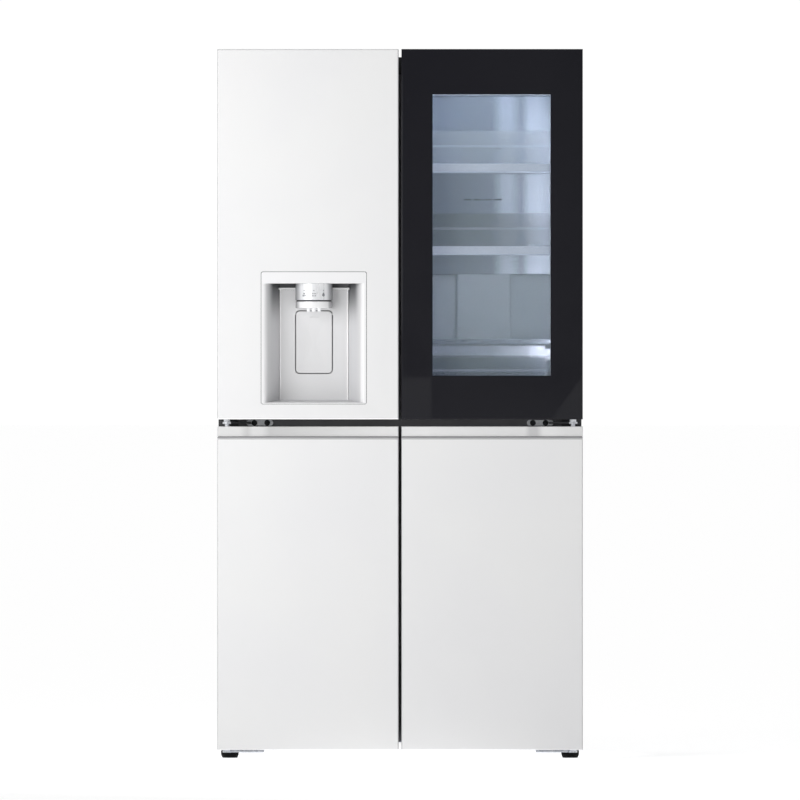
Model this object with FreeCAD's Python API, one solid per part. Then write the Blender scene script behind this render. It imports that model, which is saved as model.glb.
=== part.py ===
import FreeCAD, Part
import math
import os

# A four-door side by side refrigerator with an ice and water dispenser and a window door.
# Frame: X to the right as seen from the front, Y to the back, Z up, in millimetres.
# The origin is on the floor under the middle of the doors and cabinet.
# Pieces that come in pairs are drawn for the right side (X positive) and mirrored for the left.

os.makedirs("parts", exist_ok=True)
V = FreeCAD.Vector
X_AXIS = V(1, 0, 0)
Y_AXIS = V(0, 1, 0)
Z_AXIS = V(0, 0, 1)
RIGHT = 1
LEFT = -1

# Overall size
width = 914.0
height = 1775.0
depth = 730.0

# Doors
door_thickness = 75.0
door_gap = 7.0
row_gap = 17.5
door_bottom = 22.5
lower_door_height = 809.0
skin_sheet = 1.2
door_edge_radius = 3.0
cap_height = 28.0
cap_inset = 1.0
channel_depth = 24.0
channel_from_front = 18.0
channel_width = 29.0
channel_inset = 17.0
dyke_depth = 45.0
dyke_wall = 15.0
dyke_play = 10.0
shallow_dyke = 13.0

# Gaskets
gasket_depth = 11.5
gasket_clearance = 0.5
gasket_width = 16.0
gasket_from_gap = 2.5
gasket_sill = 4.0
gasket_from_pin = 1.0

# Cabinet
cabinet_inset = 2.0
cabinet_bottom = 39.0
rear_standoff = 22.0
hinge_rise = 18.0
side_wall = 52.0
rear_wall = 58.0
top_wall = 45.0
floor_wall = 56.0
partition_half = 25.0
cross_half = 40.0
sheet = 1.0
base_sheet = 2.0
liner_wall = 2.0
machine_depth = 192.0
machine_top = 270.0
step_wall = 48.0

# Hinges
pin_radius = 5.0
pin_play = 0.06
pin_from_side = 24.0
pin_from_back = 32.0
hinge_plate = 5.0
hinge_half = 11.0
collar_radius = 8.0
pin_depth = 25.0
pocket_depth = 25.0
pocket_front_wall = 9.0
pocket_length = 62.0
cover_height = 16.5
cover_wall = 2.0
screw_radius = 3.0
screw_head = 5.75

# Play between pieces that rest on or beside each other
seat_gap = 0.3

# Dispenser
dispenser_centre = 215.5
dispenser_width = 262.5
dispenser_sill = 39.0
dispenser_height = 329.5
dispenser_header = 28.5
dispenser_floor = 9.5
recess_depth = 80.0
recess_front_half = 127.5
recess_back_half = 86.25
housing_wall = 3.0
head_radius = 46.5
head_height = 61.5
head_seam = 3.5
paddle_width = 90.0
paddle_height = 155.0
paddle_sheet = 4.0
paddle_groove = 2.5
paddle_corner = 9.0
paddle_travel = 11.0
paddle_pivot_radius = 2.5
bulge_foam = 8.0

# Window door
glass_sheet = 4.0
window_side_margin = 78.0
window_hinge_margin = 80.7
window_bottom_margin = 109.5
window_top_margin = 113.5
pane_overlap = 10.0
pane_sheet = 5.0

# Shelves, bins and drawers
bin_wall = 3.0
bin_base = 6.0
bin_height = 104.0
bin_reach = 130.0
bin_from_partition = 43.0
bin_corner = 8.0
bin_shares = (0.03, 0.459, 0.708)
shelf_sheet = 4.0
shelf_trim = 12.0
shelf_front = 128.0
shelf_shares = (0.466, 0.716)
shelf_ledge = 8.0
duct_depth = 16.0
duct_half = 70.0
drawer_wall = 3.0
drawer_rim = 7.0
drawer_rim_height = 8.0
drawer_from_pin = 68.0
drawer_side_play = 8.0
crisper_height = 150.0
crisper_setback = 138.0
freezer_setback = 78.0
freezer_drawer_height = 205.0
evaporator_depth = 46.0

# Feet, rollers and the machine room
foot_radius = 21.75
foot_height = 19.5
foot_stem = 5.0
foot_from_side = 28.0
foot_setback = 33.0
roller_radius = 18.0
roller_width = 16.0
roller_axle = 4.0
roller_from_side = 55.0
roller_from_rear = 43.0
compressor_radius = 78.0
compressor_height = 165.0
fan_radius = 74.0
fan_shaft = 4.0
inlet_radius = 13.2
inlet_bore = 8.0

# Planes and edges that follow from the sizes above
front = -depth / 2
back = depth / 2
half_width = width / 2
door_back = front + door_thickness
door_edge = door_gap / 2
lower_top = door_bottom + lower_door_height
upper_bottom = lower_top + row_gap
row_middle = lower_top + row_gap / 2
cabinet_half = half_width - cabinet_inset
cabinet_front = door_back + gasket_depth + gasket_clearance
cabinet_rear = back - rear_standoff
cabinet_top = height - hinge_rise
liner_side = cabinet_half - side_wall
liner_back = cabinet_rear - rear_wall
upper_floor = row_middle + cross_half
upper_ceiling = cabinet_top - top_wall
lower_floor = cabinet_bottom + floor_wall
lower_ceiling = row_middle - cross_half
base_top = cabinet_bottom + base_sheet
machine_front = cabinet_rear - sheet - machine_depth
step_front = machine_front - step_wall
step_top = machine_top + step_wall
pin_x = half_width - pin_from_side
pin_y = door_back - pin_from_back
bore = pin_radius + pin_play
dispenser_bottom = upper_bottom + dispenser_sill
dispenser_top = dispenser_bottom + dispenser_height
recess_back = front + recess_depth
recess_bottom = dispenser_bottom + dispenser_floor
recess_top = dispenser_top - dispenser_header
window_left = door_edge + window_side_margin
window_right = half_width - window_hinge_margin
window_bottom = upper_bottom + window_bottom_margin
window_top = height - window_top_margin
dyke_in = partition_half + dyke_play
dyke_out = liner_side - dyke_play
drawer_out = pin_x - drawer_from_pin
drawer_in = partition_half + drawer_side_play


def block(x0, x1, y0, y1, z0, z1):
    """Box between two opposite corners."""
    return Part.makeBox(x1 - x0, y1 - y0, z1 - z0, V(x0, y0, z0))


def rod(radius, start, end):
    """Round bar from one point to another."""
    return Part.makeCylinder(radius, (end - start).Length, start, end - start)


def joined(shapes):
    """One solid made of shapes that touch or overlap."""
    return shapes[0].multiFuse(shapes[1:]).removeSplitter()


def rounded(shape, radius, axis, keep=lambda middle: True):
    """The shape with its straight edges along an axis rounded, where keep accepts their middle."""
    edges = []
    for edge in shape.Edges:
        if not isinstance(edge.Curve, Part.Line):
            continue
        run = edge.Vertexes[-1].Point - edge.Vertexes[0].Point
        middle = (edge.Vertexes[-1].Point + edge.Vertexes[0].Point) / 2
        if abs(run.normalize().dot(axis)) > 0.999 and keep(middle):
            edges.append(edge)
    return shape.makeFillet(radius, edges)


def tray(x0, x1, y0, y1, z0, z1, wall, base, corner):
    """Open-topped container with rounded upright corners."""
    outer = rounded(block(x0, x1, y0, y1, z0, z1), corner, Z_AXIS)
    inner = block(x0 + wall, x1 - wall, y0 + wall, y1 - wall, z0 + base, z1 + 1)
    return outer.cut(rounded(inner, corner - wall, Z_AXIS))


def on_side(shape, side):
    """A shape drawn for the right, or its mirror image for the left."""
    return shape if side == RIGHT else shape.mirror(V(0, 0, 0), X_AXIS)


def both_sides(shapes):
    """The shapes and their mirror images."""
    return [on_side(shape, side) for side in (RIGHT, LEFT) for shape in shapes]


def save(name, shapes):
    """Writes a sub-part, which may be a group of separate solids."""
    solids = shapes if isinstance(shapes, list) else [shapes]
    Part.makeCompound(solids).exportStep(f"parts/{name}.step")


def at_share(share):
    """Height in the upper compartments, from their floor (0) to their ceiling (1)."""
    return upper_floor + share * (upper_ceiling - upper_floor)


# Cabinet

def cabinet_wrapper():
    """Bent sheet that makes both sides, the top and the flange round the door openings."""
    outer = block(-cabinet_half, cabinet_half, cabinet_front, cabinet_rear, cabinet_bottom, cabinet_top)
    hollow = block(
        -cabinet_half + sheet, cabinet_half - sheet, cabinet_front + sheet, cabinet_rear + 1,
        cabinet_bottom - 1, cabinet_top - sheet,
    )
    mouth = liner_side + liner_wall
    opening = block(
        -mouth, mouth, cabinet_front - 1, cabinet_front + sheet + 1,
        cabinet_bottom - 1, upper_ceiling + liner_wall,
    )
    return rounded(outer, 2.0, Y_AXIS, lambda middle: middle.z > row_middle).cut(hollow).cut(opening)


def front_frame():
    """Dark plate over the fronts of the partition, the cross wall and the sill."""
    mouth = liner_side + liner_wall
    post = partition_half - liner_wall
    face = cabinet_front + sheet
    bars = [
        (-post, post, base_top, upper_ceiling + liner_wall),
        (-mouth, mouth, lower_ceiling + liner_wall, upper_floor - liner_wall),
        (-mouth, mouth, base_top, lower_floor - liner_wall),
    ]
    return joined([block(x0, x1, cabinet_front, face, z0, z1) for x0, x1, z0, z1 in bars])


def foam_slabs():
    """Foam between the sheet metal and the liners, as slabs that meet face to face."""
    mouth = liner_side + liner_wall
    post = partition_half - liner_wall
    face = cabinet_front + sheet
    rear = cabinet_rear - sheet
    behind = liner_back + liner_wall
    roof = upper_ceiling + liner_wall
    edge = cabinet_half - sheet
    middle = [
        block(-mouth, mouth, face, rear, roof, cabinet_top - sheet),
        block(-mouth, mouth, behind, rear, step_top, roof),
        block(-mouth, mouth, step_front, rear, machine_top, step_top),
        block(-mouth, mouth, step_front, machine_front, base_top, machine_top),
        block(-post, post, face, step_front, base_top, roof),
        block(-post, post, step_front, behind, step_top, roof),
    ]
    halves = [
        block(mouth, edge, face, rear, base_top, cabinet_top - sheet),
        block(post, mouth, face, behind, lower_ceiling + liner_wall, upper_floor - liner_wall),
        block(post, mouth, face, step_front, base_top, lower_floor - liner_wall),
    ]
    return middle + both_sides(halves)


def shelf_ledges(z, y1):
    """Pair of ledges on the liner's side walls back to y1, whose tops carry a shelf."""
    y0 = cabinet_front + shelf_front + 10
    return [
        block(partition_half - 1, partition_half + shelf_ledge, y0, y1, z - 6, z),
        block(liner_side - shelf_ledge, liner_side + 1, y0, y1, z - 6, z),
    ]


def upper_liner():
    """Moulded lining of an upper compartment, with ledges for its shelves."""
    outer = block(
        partition_half - liner_wall, liner_side + liner_wall, cabinet_front, liner_back + liner_wall,
        upper_floor - liner_wall, upper_ceiling + liner_wall,
    )
    inner = block(
        partition_half, liner_side, cabinet_front - 1, liner_back, upper_floor, upper_ceiling,
    )
    shapes = [outer.cut(inner)]
    for z in upper_shelf_heights():
        shapes += shelf_ledges(z, liner_back - duct_depth - 10)
    return joined(shapes)


def lower_liner():
    """Moulded lining of a lower compartment, stepped up over the machine room."""
    x0 = partition_half
    x1 = liner_side
    wall = liner_wall
    outer = joined([
        block(x0 - wall, x1 + wall, cabinet_front, step_front, lower_floor - wall, lower_ceiling + wall),
        block(x0 - wall, x1 + wall, step_front, liner_back + wall, step_top, lower_ceiling + wall),
    ])
    inner = joined([
        block(x0, x1, cabinet_front - 1, step_front - wall, lower_floor, lower_ceiling),
        block(x0, x1, cabinet_front - 1, liner_back, step_top + wall, lower_ceiling),
    ])
    ledges = shelf_ledges(freezer_shelf_height(), liner_back - evaporator_depth - 10)
    return joined([outer.cut(inner)] + ledges)


def rear_panel():
    """Sheet that closes the back above the machine room."""
    edge = cabinet_half - sheet
    return block(-edge, edge, cabinet_rear - sheet, cabinet_rear, machine_top, cabinet_top - sheet)


def base_pan():
    """Pressed floor with the nuts for the front feet and the brackets of the rear rollers."""
    edge = cabinet_half - sheet
    shapes = [block(-edge, edge, cabinet_front + sheet, cabinet_rear, cabinet_bottom, base_top)]
    foot_x = cabinet_half - foot_from_side
    foot_y = cabinet_front + foot_setback
    nut = rod(foot_stem + 5, V(foot_x, foot_y, foot_height + 3), V(foot_x, foot_y, cabinet_bottom + 1))
    stem_hole = rod(
        foot_stem + pin_play, V(foot_x, foot_y, foot_height), V(foot_x, foot_y, cabinet_bottom),
    )
    roller_x = cabinet_half - roller_from_side
    roller_y = cabinet_rear - roller_from_rear
    cheek_gap = roller_width / 2 + 1
    axle = rod(
        roller_axle, V(roller_x - cheek_gap - 2, roller_y, roller_radius),
        V(roller_x + cheek_gap + 2, roller_y, roller_radius),
    )
    cheeks = []
    for start in (roller_x - cheek_gap - 3, roller_x + cheek_gap):
        cheeks.append(block(start, start + 3, roller_y - 11, roller_y + 11, 9, cabinet_bottom + 1))
    shapes += both_sides([nut.cut(stem_hole), axle] + cheeks)
    return joined(shapes)


# Hinges

def hinge_tongue(y1, z0, z1, half):
    """Arm with a round end about a hinge pin, reaching back to y1."""
    return joined([
        block(pin_x - half, pin_x + half, pin_y, y1, z0, z1),
        rod(half, V(pin_x, pin_y, z0), V(pin_x, pin_y, z1)),
    ])


def pin_hole(z0, z1):
    """Bore that a hinge pin turns in."""
    return rod(bore, V(pin_x, pin_y, z0), V(pin_x, pin_y, z1))


def top_screw_places():
    """Middles of the screws that hold a top hinge down."""
    inner = pin_x - 50
    y = cabinet_front + 40
    return [V(inner, y, 0), V(pin_x - 4, y, 0), V(inner + 23, y + 35, 0)]


def top_hinge():
    """Flat hinge arm on the cabinet's top."""
    z0 = cabinet_top
    z1 = cabinet_top + hinge_plate - 1
    plate = block(pin_x - 65, pin_x + hinge_half, cabinet_front + 18, cabinet_front + 88, z0, z1)
    arm = joined([rounded(plate, 6, Z_AXIS), hinge_tongue(cabinet_front + 30, z0, z1, hinge_half)])
    arm = arm.cut(pin_hole(z0 - 1, z1 + 1))
    for place in top_screw_places():
        arm = arm.cut(rod(screw_radius + pin_play, place + V(0, 0, z0 - 1), place + V(0, 0, z1 + 1)))
    return arm


def hinge_cover():
    """Moulded cover that hides a top hinge and its screws."""
    z0 = cabinet_top
    z1 = cabinet_top + cover_height
    wide = block(pin_x - 80, cabinet_half - 6, cabinet_front + 4, cabinet_front + 104, z0, z1)
    nose = hinge_tongue(cabinet_front + 30, z0 + hinge_plate, z1, hinge_half + 3)
    room = block(
        pin_x - 80 + cover_wall, cabinet_half - 6 - cover_wall, cabinet_front + 4 + cover_wall,
        cabinet_front + 104 - cover_wall, z0 - 1, z1 - cover_wall,
    )
    slot = hinge_tongue(cabinet_front + 30, z0 - 1, z0 + hinge_plate - 1 + seat_gap, hinge_half + 1)
    cover = joined([rounded(wide, 8, Z_AXIS), nose]).cut(rounded(room, 6, Z_AXIS)).cut(slot)
    return cover.cut(rod(collar_radius + 1, V(pin_x, pin_y, z0), V(pin_x, pin_y, z0 + hinge_plate + 2)))


def flange_screw_x():
    """Distances from the middle of the screws in a middle hinge."""
    return (pin_x - 68, pin_x - 100)


def middle_hinge():
    """Bracket in the gap between the upper and lower doors."""
    z0 = row_middle - hinge_plate / 2
    z1 = row_middle + hinge_plate / 2
    flange = block(
        pin_x - 115, pin_x - 48, cabinet_front - hinge_plate, cabinet_front,
        row_middle - 7.5, row_middle + 7.5,
    )
    shelf = block(pin_x - 60, pin_x + hinge_half, pin_y, cabinet_front, z0, z1)
    bracket = joined([flange, shelf, hinge_tongue(cabinet_front, z0, z1, hinge_half)])
    bracket = bracket.cut(pin_hole(z0 - 1, z1 + 1))
    for x in flange_screw_x():
        hole = rod(
            screw_radius + pin_play, V(x, cabinet_front - hinge_plate - 1, row_middle),
            V(x, cabinet_front + 1, row_middle),
        )
        bracket = bracket.cut(hole)
    return bracket


def bottom_hinge():
    """Stepped bracket under the cabinet that carries a lower door."""
    z1 = door_bottom - 2.5
    z0 = z1 - hinge_plate
    web_front = cabinet_front - hinge_plate - 3
    x0 = pin_x - 93
    x1 = pin_x - 23
    low = joined([
        block(x0, pin_x + hinge_half, pin_y, web_front + hinge_plate, z0, z1),
        hinge_tongue(web_front + hinge_plate, z0, z1, hinge_half),
    ])
    web = block(x0, x1, web_front, web_front + hinge_plate, z0, cabinet_bottom)
    high = block(x0, x1, web_front, cabinet_front + 50, cabinet_bottom - hinge_plate, cabinet_bottom)
    bracket = joined([low, web, high]).cut(pin_hole(z0 - 1, z1 + 1))
    for x in (x0 + 15, x1 - 15):
        start = V(x, cabinet_front + 30, z0)
        hole = rod(screw_radius + pin_play, start, V(start.x, start.y, cabinet_bottom + 1))
        bracket = bracket.cut(hole)
    return bracket


def hinge_pins():
    """Three pins of a side, with the collars that carry the doors."""
    pin_top = cabinet_top + hinge_plate - 1
    top = joined([
        rod(pin_radius, V(pin_x, pin_y, cabinet_top - pin_depth - 7), V(pin_x, pin_y, pin_top)),
        rod(collar_radius, V(pin_x, pin_y, pin_top), V(pin_x, pin_y, pin_top + 2)),
    ])
    plate_top = row_middle + hinge_plate / 2
    low_end = lower_top - pin_depth + 8
    high_end = upper_bottom + pin_depth - 5
    middle = joined([
        rod(pin_radius, V(pin_x, pin_y, low_end), V(pin_x, pin_y, high_end)),
        rod(collar_radius, V(pin_x, pin_y, plate_top), V(pin_x, pin_y, upper_bottom - seat_gap)),
    ])
    low_plate = door_bottom - 2.5
    low_end = low_plate - hinge_plate
    bottom = joined([
        rod(pin_radius, V(pin_x, pin_y, low_end), V(pin_x, pin_y, door_bottom + pin_depth)),
        rod(collar_radius, V(pin_x, pin_y, low_plate), V(pin_x, pin_y, door_bottom - seat_gap)),
    ])
    return [top, middle, bottom]


def screw(head_at, towards, shank, head_depth=4.0):
    """Hexagon-headed screw; head_at is where its head meets the plate."""
    head = rod(screw_head, head_at, head_at - towards * head_depth)
    return joined([head, rod(screw_radius, head_at, head_at + towards * shank)])


def hinge_screws():
    """Screws of the three hinges of a side."""
    plate_top = cabinet_top + hinge_plate - 1
    screws = []
    for place in top_screw_places():
        screws.append(screw(place + V(0, 0, plate_top), V(0, 0, -1), hinge_plate - 1))
    for x in flange_screw_x():
        screws.append(screw(V(x, cabinet_front - hinge_plate, row_middle), V(0, 1, 0), hinge_plate))
    for x in (pin_x - 78, pin_x - 38):
        under = cabinet_bottom - hinge_plate
        screws.append(screw(V(x, cabinet_front + 30, under), V(0, 0, 1), hinge_plate))
    return screws


# Doors

def wrapped_skin(z0, z1):
    """Painted sheet over a door's front and both its sides."""
    outer = block(door_edge, half_width, front, door_back, z0, z1)
    outer = rounded(outer, door_edge_radius, Z_AXIS, lambda middle: middle.y < front + 1)
    inner = block(
        door_edge + skin_sheet, half_width - skin_sheet, front + skin_sheet, door_back + 1, z0 - 1, z1 + 1,
    )
    return outer.cut(inner)


def hinge_pocket():
    """Room in an upper door's top for the hinge arm, its cover's nose and their swing."""
    return block(
        half_width - pocket_length, half_width + 1, front + pocket_front_wall, door_back + 1,
        height - pocket_depth, height + 1,
    )


def finger_channel(z0, z1):
    """Groove along a door's edge for the fingers that open it."""
    y0 = front + channel_from_front
    return block(
        door_edge + channel_inset, half_width - pocket_length, y0, y0 + channel_width, z0, z1,
    )


def dyke(z0, z1, reach):
    """Raised rim on a door's inner side, which stands inside the cabinet's mouth."""
    outer = block(dyke_in, dyke_out, door_back, door_back + reach, z0, z1)
    inner = block(
        dyke_in + dyke_wall, dyke_out - dyke_wall, door_back, door_back + reach + 1,
        z0 + dyke_wall, z1 - dyke_wall,
    )
    return rounded(outer, 6, Y_AXIS).cut(inner)


def gasket(z0, z1):
    """Magnetic seal that fills the space between a door and the cabinet."""
    x0 = door_edge + gasket_from_gap
    x1 = pin_x - gasket_from_pin
    outer = block(x0, x1, door_back, door_back + gasket_depth, z0, z1)
    inner = block(
        x0 + gasket_width, x1 - gasket_width, door_back - 1, door_back + gasket_depth + 1,
        z0 + gasket_width, z1 - gasket_width,
    )
    return rounded(outer, 10, Y_AXIS).cut(inner)


def upper_gasket():
    return gasket(upper_bottom + gasket_sill, upper_ceiling + top_wall - 11)


def lower_gasket():
    return gasket(door_bottom + gasket_width + 5.5, lower_top - gasket_sill)


def upper_dyke():
    return dyke(upper_floor + 3, upper_ceiling - 3, dyke_depth)


def scoop(front_half, back_half, y0, y1, z0, z1):
    """Prism whose plan narrows from front to back between two hollow curves."""
    c = dispenser_centre
    bow = front_half - (front_half - back_half) * 0.22
    mid_y = y0 + (y1 - y0) * 0.72
    left = Part.Arc(V(c - front_half, y0, z0), V(c - bow, mid_y, z0), V(c - back_half, y1, z0))
    right = Part.Arc(V(c + back_half, y1, z0), V(c + bow, mid_y, z0), V(c + front_half, y0, z0))
    edges = [
        left.toShape(),
        Part.makeLine(V(c - back_half, y1, z0), V(c + back_half, y1, z0)),
        right.toShape(),
        Part.makeLine(V(c + front_half, y0, z0), V(c - front_half, y0, z0)),
    ]
    return Part.Face(Part.Wire(edges)).extrude(V(0, 0, z1 - z0))


def paddle_pocket(grow):
    """Room behind the recess for the paddle and its travel."""
    half = paddle_width / 2 + paddle_groove + grow
    top = paddle_top() + paddle_groove + grow
    bottom = paddle_top() - paddle_height - paddle_groove - grow
    deep = recess_back + paddle_sheet + paddle_travel + grow
    return block(
        dispenser_centre - half, dispenser_centre + half, recess_back - 1, deep, bottom, top,
    )


def paddle_top():
    """Height of the paddle's upper edge."""
    return recess_top - head_height - head_seam - 4


def paddle_pivot():
    """Middle of the paddle's pivot."""
    return V(dispenser_centre, recess_back + paddle_sheet / 2, paddle_top() - 7)


def dispenser_housing():
    """Moulded niche with a flush rim, a header and the paddle's pocket."""
    c = dispenser_centre
    half = dispenser_width / 2
    z0 = recess_bottom
    z1 = recess_top
    rim = block(c - half, c + half, front, front + housing_wall, dispenser_bottom, dispenser_top)
    rim = rounded(rim, 5, Y_AXIS)
    shell = scoop(
        recess_front_half + housing_wall, recess_back_half + housing_wall,
        front, recess_back + housing_wall, dispenser_bottom + 0.5, z1 + housing_wall,
    )
    cavity = scoop(recess_front_half, recess_back_half, front - 0.01, recess_back, z0, z1)
    slope = Part.makePolygon([
        V(c - half, front - 0.01, z0), V(c - half, front - 0.01, dispenser_bottom + 2.5),
        V(c - half, recess_back - 4, z0), V(c - half, front - 0.01, z0),
    ])
    wedge = Part.Face(slope).extrude(V(2 * half, 0, 0))
    floor_room = scoop(
        recess_front_half, recess_back_half, front - 0.01, recess_back, dispenser_bottom + 1, z0 + 1,
    ).common(wedge)
    pocket = paddle_pocket(housing_wall)
    body = joined([rim, shell, pocket.common(block(c - half, c + half, recess_back, back, z0, z1))])
    body = body.cut(cavity).cut(floor_room).cut(paddle_pocket(0))
    pivot = paddle_pivot()
    reach = paddle_width / 2 + paddle_groove + 2
    return body.cut(rod(paddle_pivot_radius + pin_play, pivot - X_AXIS * reach, pivot + X_AXIS * reach))


def dispenser_room():
    """Room cut in the door's foam for the dispenser's housing."""
    c = dispenser_centre
    half = dispenser_width / 2
    rim = block(c - half, c + half, front - 1, front + housing_wall, dispenser_bottom, dispenser_top)
    shell = scoop(
        recess_front_half + housing_wall, recess_back_half + housing_wall,
        front, recess_back + housing_wall, dispenser_bottom, recess_top + housing_wall,
    )
    return joined([rounded(rim, 5, Y_AXIS), shell, paddle_pocket(housing_wall)])


def dispenser_head():
    """Drum-fronted spout housing that carries the touch symbols."""
    c = dispenser_centre
    axis_y = front + 2.5 + head_radius
    z1 = recess_top
    z0 = z1 - head_height
    seam = z1 - head_height * 0.67

    def drum(radius, low, high):
        round_part = rod(radius, V(c, axis_y, low), V(c, axis_y, high))
        tail = block(c - radius, c + radius, axis_y, recess_back, low, high)
        return joined([round_part.common(block(c - 99, c + 99, front, recess_back, low, high)), tail])

    return joined([
        drum(head_radius, seam, z1),
        drum(head_radius - 3, seam - head_seam, seam),
        drum(head_radius - 0.5, z0, seam - head_seam),
    ])


def dispenser_nozzles():
    """Ice chute mouth and the water spouts under the head."""
    c = dispenser_centre
    y = front + 32
    z1 = recess_top - head_height
    spouts = []
    for offset, radius in ((-13.5, 4.5), (0.0, 5.5), (13.5, 4.5)):
        outer = rod(radius, V(c + offset, y, z1 - 8.5), V(c + offset, y, z1))
        spouts.append(outer.cut(rod(radius - 1.5, V(c + offset, y, z1 - 9), V(c + offset, y, z1 - 4))))
    return spouts


def dispenser_paddle():
    """Plate that a glass pushes to start the flow, hung from its top edge."""
    c = dispenser_centre
    half = paddle_width / 2
    z1 = paddle_top()
    plate = block(c - half, c + half, recess_back, recess_back + paddle_sheet, z1 - paddle_height, z1)
    plate = rounded(plate, paddle_corner, Y_AXIS)
    pivot = paddle_pivot()
    reach = half + paddle_groove + 1.5
    return joined([plate, rod(paddle_pivot_radius - 0.01, pivot - X_AXIS * reach, pivot + X_AXIS * reach)])


def bulge_room():
    """Foam behind the dispenser that stands proud of the door's inner face."""
    pocket = paddle_pocket(housing_wall + bulge_foam).BoundBox
    c = dispenser_centre
    half = recess_back_half + housing_wall + bulge_foam
    return block(
        c - half, c + half, door_back - 1, pocket.YMax, upper_floor + 20, dispenser_top - 10,
    )


def left_door_skin():
    """Painted front and sides of the dispenser door."""
    c = dispenser_centre
    half = dispenser_width / 2
    hole = block(c - half, c + half, front - 1, front + skin_sheet + 1, dispenser_bottom, dispenser_top)
    return wrapped_skin(upper_bottom, height).cut(rounded(hole, 5, Y_AXIS)).cut(hinge_pocket())


def inside_skin(z0, z1):
    """Block that fits inside a door's skin."""
    return block(
        door_edge + skin_sheet, half_width - skin_sheet, front + skin_sheet, door_back, z0, z1,
    )


def left_door_core():
    """Foamed body of the dispenser door with its moulded inner face."""
    body = joined([
        inside_skin(upper_bottom + cap_height, height - pocket_depth), upper_dyke(), bulge_room(),
    ])
    return body.cut(dispenser_room()).cut(pin_hole(cabinet_top - pin_depth - 8, height))


def left_door_caps():
    """Moulded ends of the dispenser door; the lower one holds the finger channel."""
    top = inside_skin(height - pocket_depth, height - cap_inset).cut(hinge_pocket())
    bottom = inside_skin(upper_bottom + cap_inset, upper_bottom + cap_height)
    bottom = bottom.cut(finger_channel(upper_bottom - 1, upper_bottom + channel_depth))
    bottom = bottom.cut(pin_hole(upper_bottom - 1, upper_bottom + pin_depth - 4))
    return [top, bottom]


def window_opening(grow, y0, y1):
    """Prism through the window, grown by a margin on every side."""
    return block(
        window_left - grow, window_right + grow, y0, y1, window_bottom - grow, window_top + grow,
    )


def window_door_frame():
    """Foamed frame of the window door behind its glass front."""
    body = block(
        door_edge + skin_sheet, half_width - skin_sheet, front + glass_sheet, door_back,
        upper_bottom + cap_inset, height - cap_inset,
    )
    body = joined([body, upper_dyke()])
    body = body.cut(window_opening(0, front, door_back + 1))
    body = body.cut(window_opening(pane_overlap, door_back - pane_sheet - seat_gap, door_back + 1))
    body = body.cut(hinge_pocket())
    body = body.cut(finger_channel(upper_bottom - 1, upper_bottom + channel_depth))
    body = body.cut(pin_hole(upper_bottom - 1, upper_bottom + pin_depth - 4))
    return body.cut(pin_hole(cabinet_top - pin_depth - 8, height))


def window_glass():
    """Glass front of the window door."""
    pane = block(door_edge, half_width, front, front + glass_sheet, upper_bottom, height)
    return rounded(pane, 2.5, Z_AXIS, lambda middle: middle.y < front + 1)


def window_inner_glass():
    """Inner pane of the window, let into the back of its frame."""
    grow = pane_overlap - seat_gap
    return window_opening(grow, door_back - pane_sheet - seat_gap / 2, door_back - seat_gap / 2)


def lower_door_skin():
    """Painted front and sides of a lower door, lower in front to leave room for the pull."""
    pull = block(
        door_edge - 1, half_width + 1, front - 1, front + channel_from_front,
        lower_top - pull_height(), lower_top + 1,
    )
    return wrapped_skin(door_bottom, lower_top).cut(pull)


def pull_height():
    """Height of the metal pull along a lower door's top."""
    return channel_depth + 2


def door_pull():
    """Metal profile along a lower door's top, with a lip to hook the fingers behind."""
    x0 = door_edge + 1.5
    x1 = half_width - 1.5
    y0 = front + 6
    y1 = front + channel_from_front
    z0 = lower_top - pull_height()
    plate = block(x0, x1, y0, y0 + 4, z0, lower_top)
    foot = block(x0, x1, y0, y1, z0, z0 + 4)
    lip = block(x0, x1, y0, y1 - 3, lower_top - 3, lower_top)
    return rounded(joined([plate, foot, lip]), 1.2, X_AXIS, lambda middle: middle.y < y0 + 0.5)


def lower_door_core():
    """Foamed body of a lower door with its moulded inner face."""
    body = joined([
        inside_skin(door_bottom + cap_inset, lower_top - cap_inset),
        dyke(lower_floor + 5, lower_ceiling - 5, shallow_dyke),
    ])
    pull_room = block(
        0, half_width, front, front + channel_from_front, lower_top - pull_height(), lower_top,
    )
    body = body.cut(pull_room)
    body = body.cut(finger_channel(lower_top - pull_height() + 2, lower_top + 1))
    body = body.cut(pin_hole(door_bottom - 1, door_bottom + pin_depth + 1))
    return body.cut(pin_hole(lower_top - pin_depth + 7, lower_top + 1))


# Bins, shelves and drawers

def door_bin(z0, back_y):
    """Bin that hooks between a door's dykes; back_y is its side next to the door."""
    x0 = partition_half + bin_from_partition
    x1 = dyke_out - dyke_wall - seat_gap
    y1 = door_back + bin_reach
    body = tray(x0, x1, back_y, y1, z0, z0 + bin_height, bin_wall, bin_base, bin_corner)
    hook = block(
        dyke_in + dyke_wall + seat_gap, x0 + 1, back_y + bin_corner, door_back + dyke_depth,
        z0 + 10, z0 + 50,
    )
    return joined([body, hook])


def left_door_bins():
    """Two bins beside and above the dispenser's bulge."""
    back_y = bulge_room().BoundBox.YMax + seat_gap
    levels = (at_share(bin_shares[0]), at_share(bin_shares[0]) + bin_height + 70)
    return [door_bin(z, back_y) for z in levels]


def window_door_bins():
    """Bins behind the window."""
    return [door_bin(at_share(share), door_back + seat_gap) for share in bin_shares]


def upper_shelf_heights():
    """Undersides of the shelves in an upper compartment; the lowest covers the drawer."""
    return [crisper_top() + 8] + [at_share(share) for share in shelf_shares]


def crisper_top():
    return upper_floor + 5 + crisper_height


def freezer_shelf_height():
    """Underside of the shelf over the freezer drawers."""
    return step_top + liner_wall + 5 + freezer_drawer_height + 10


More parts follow.
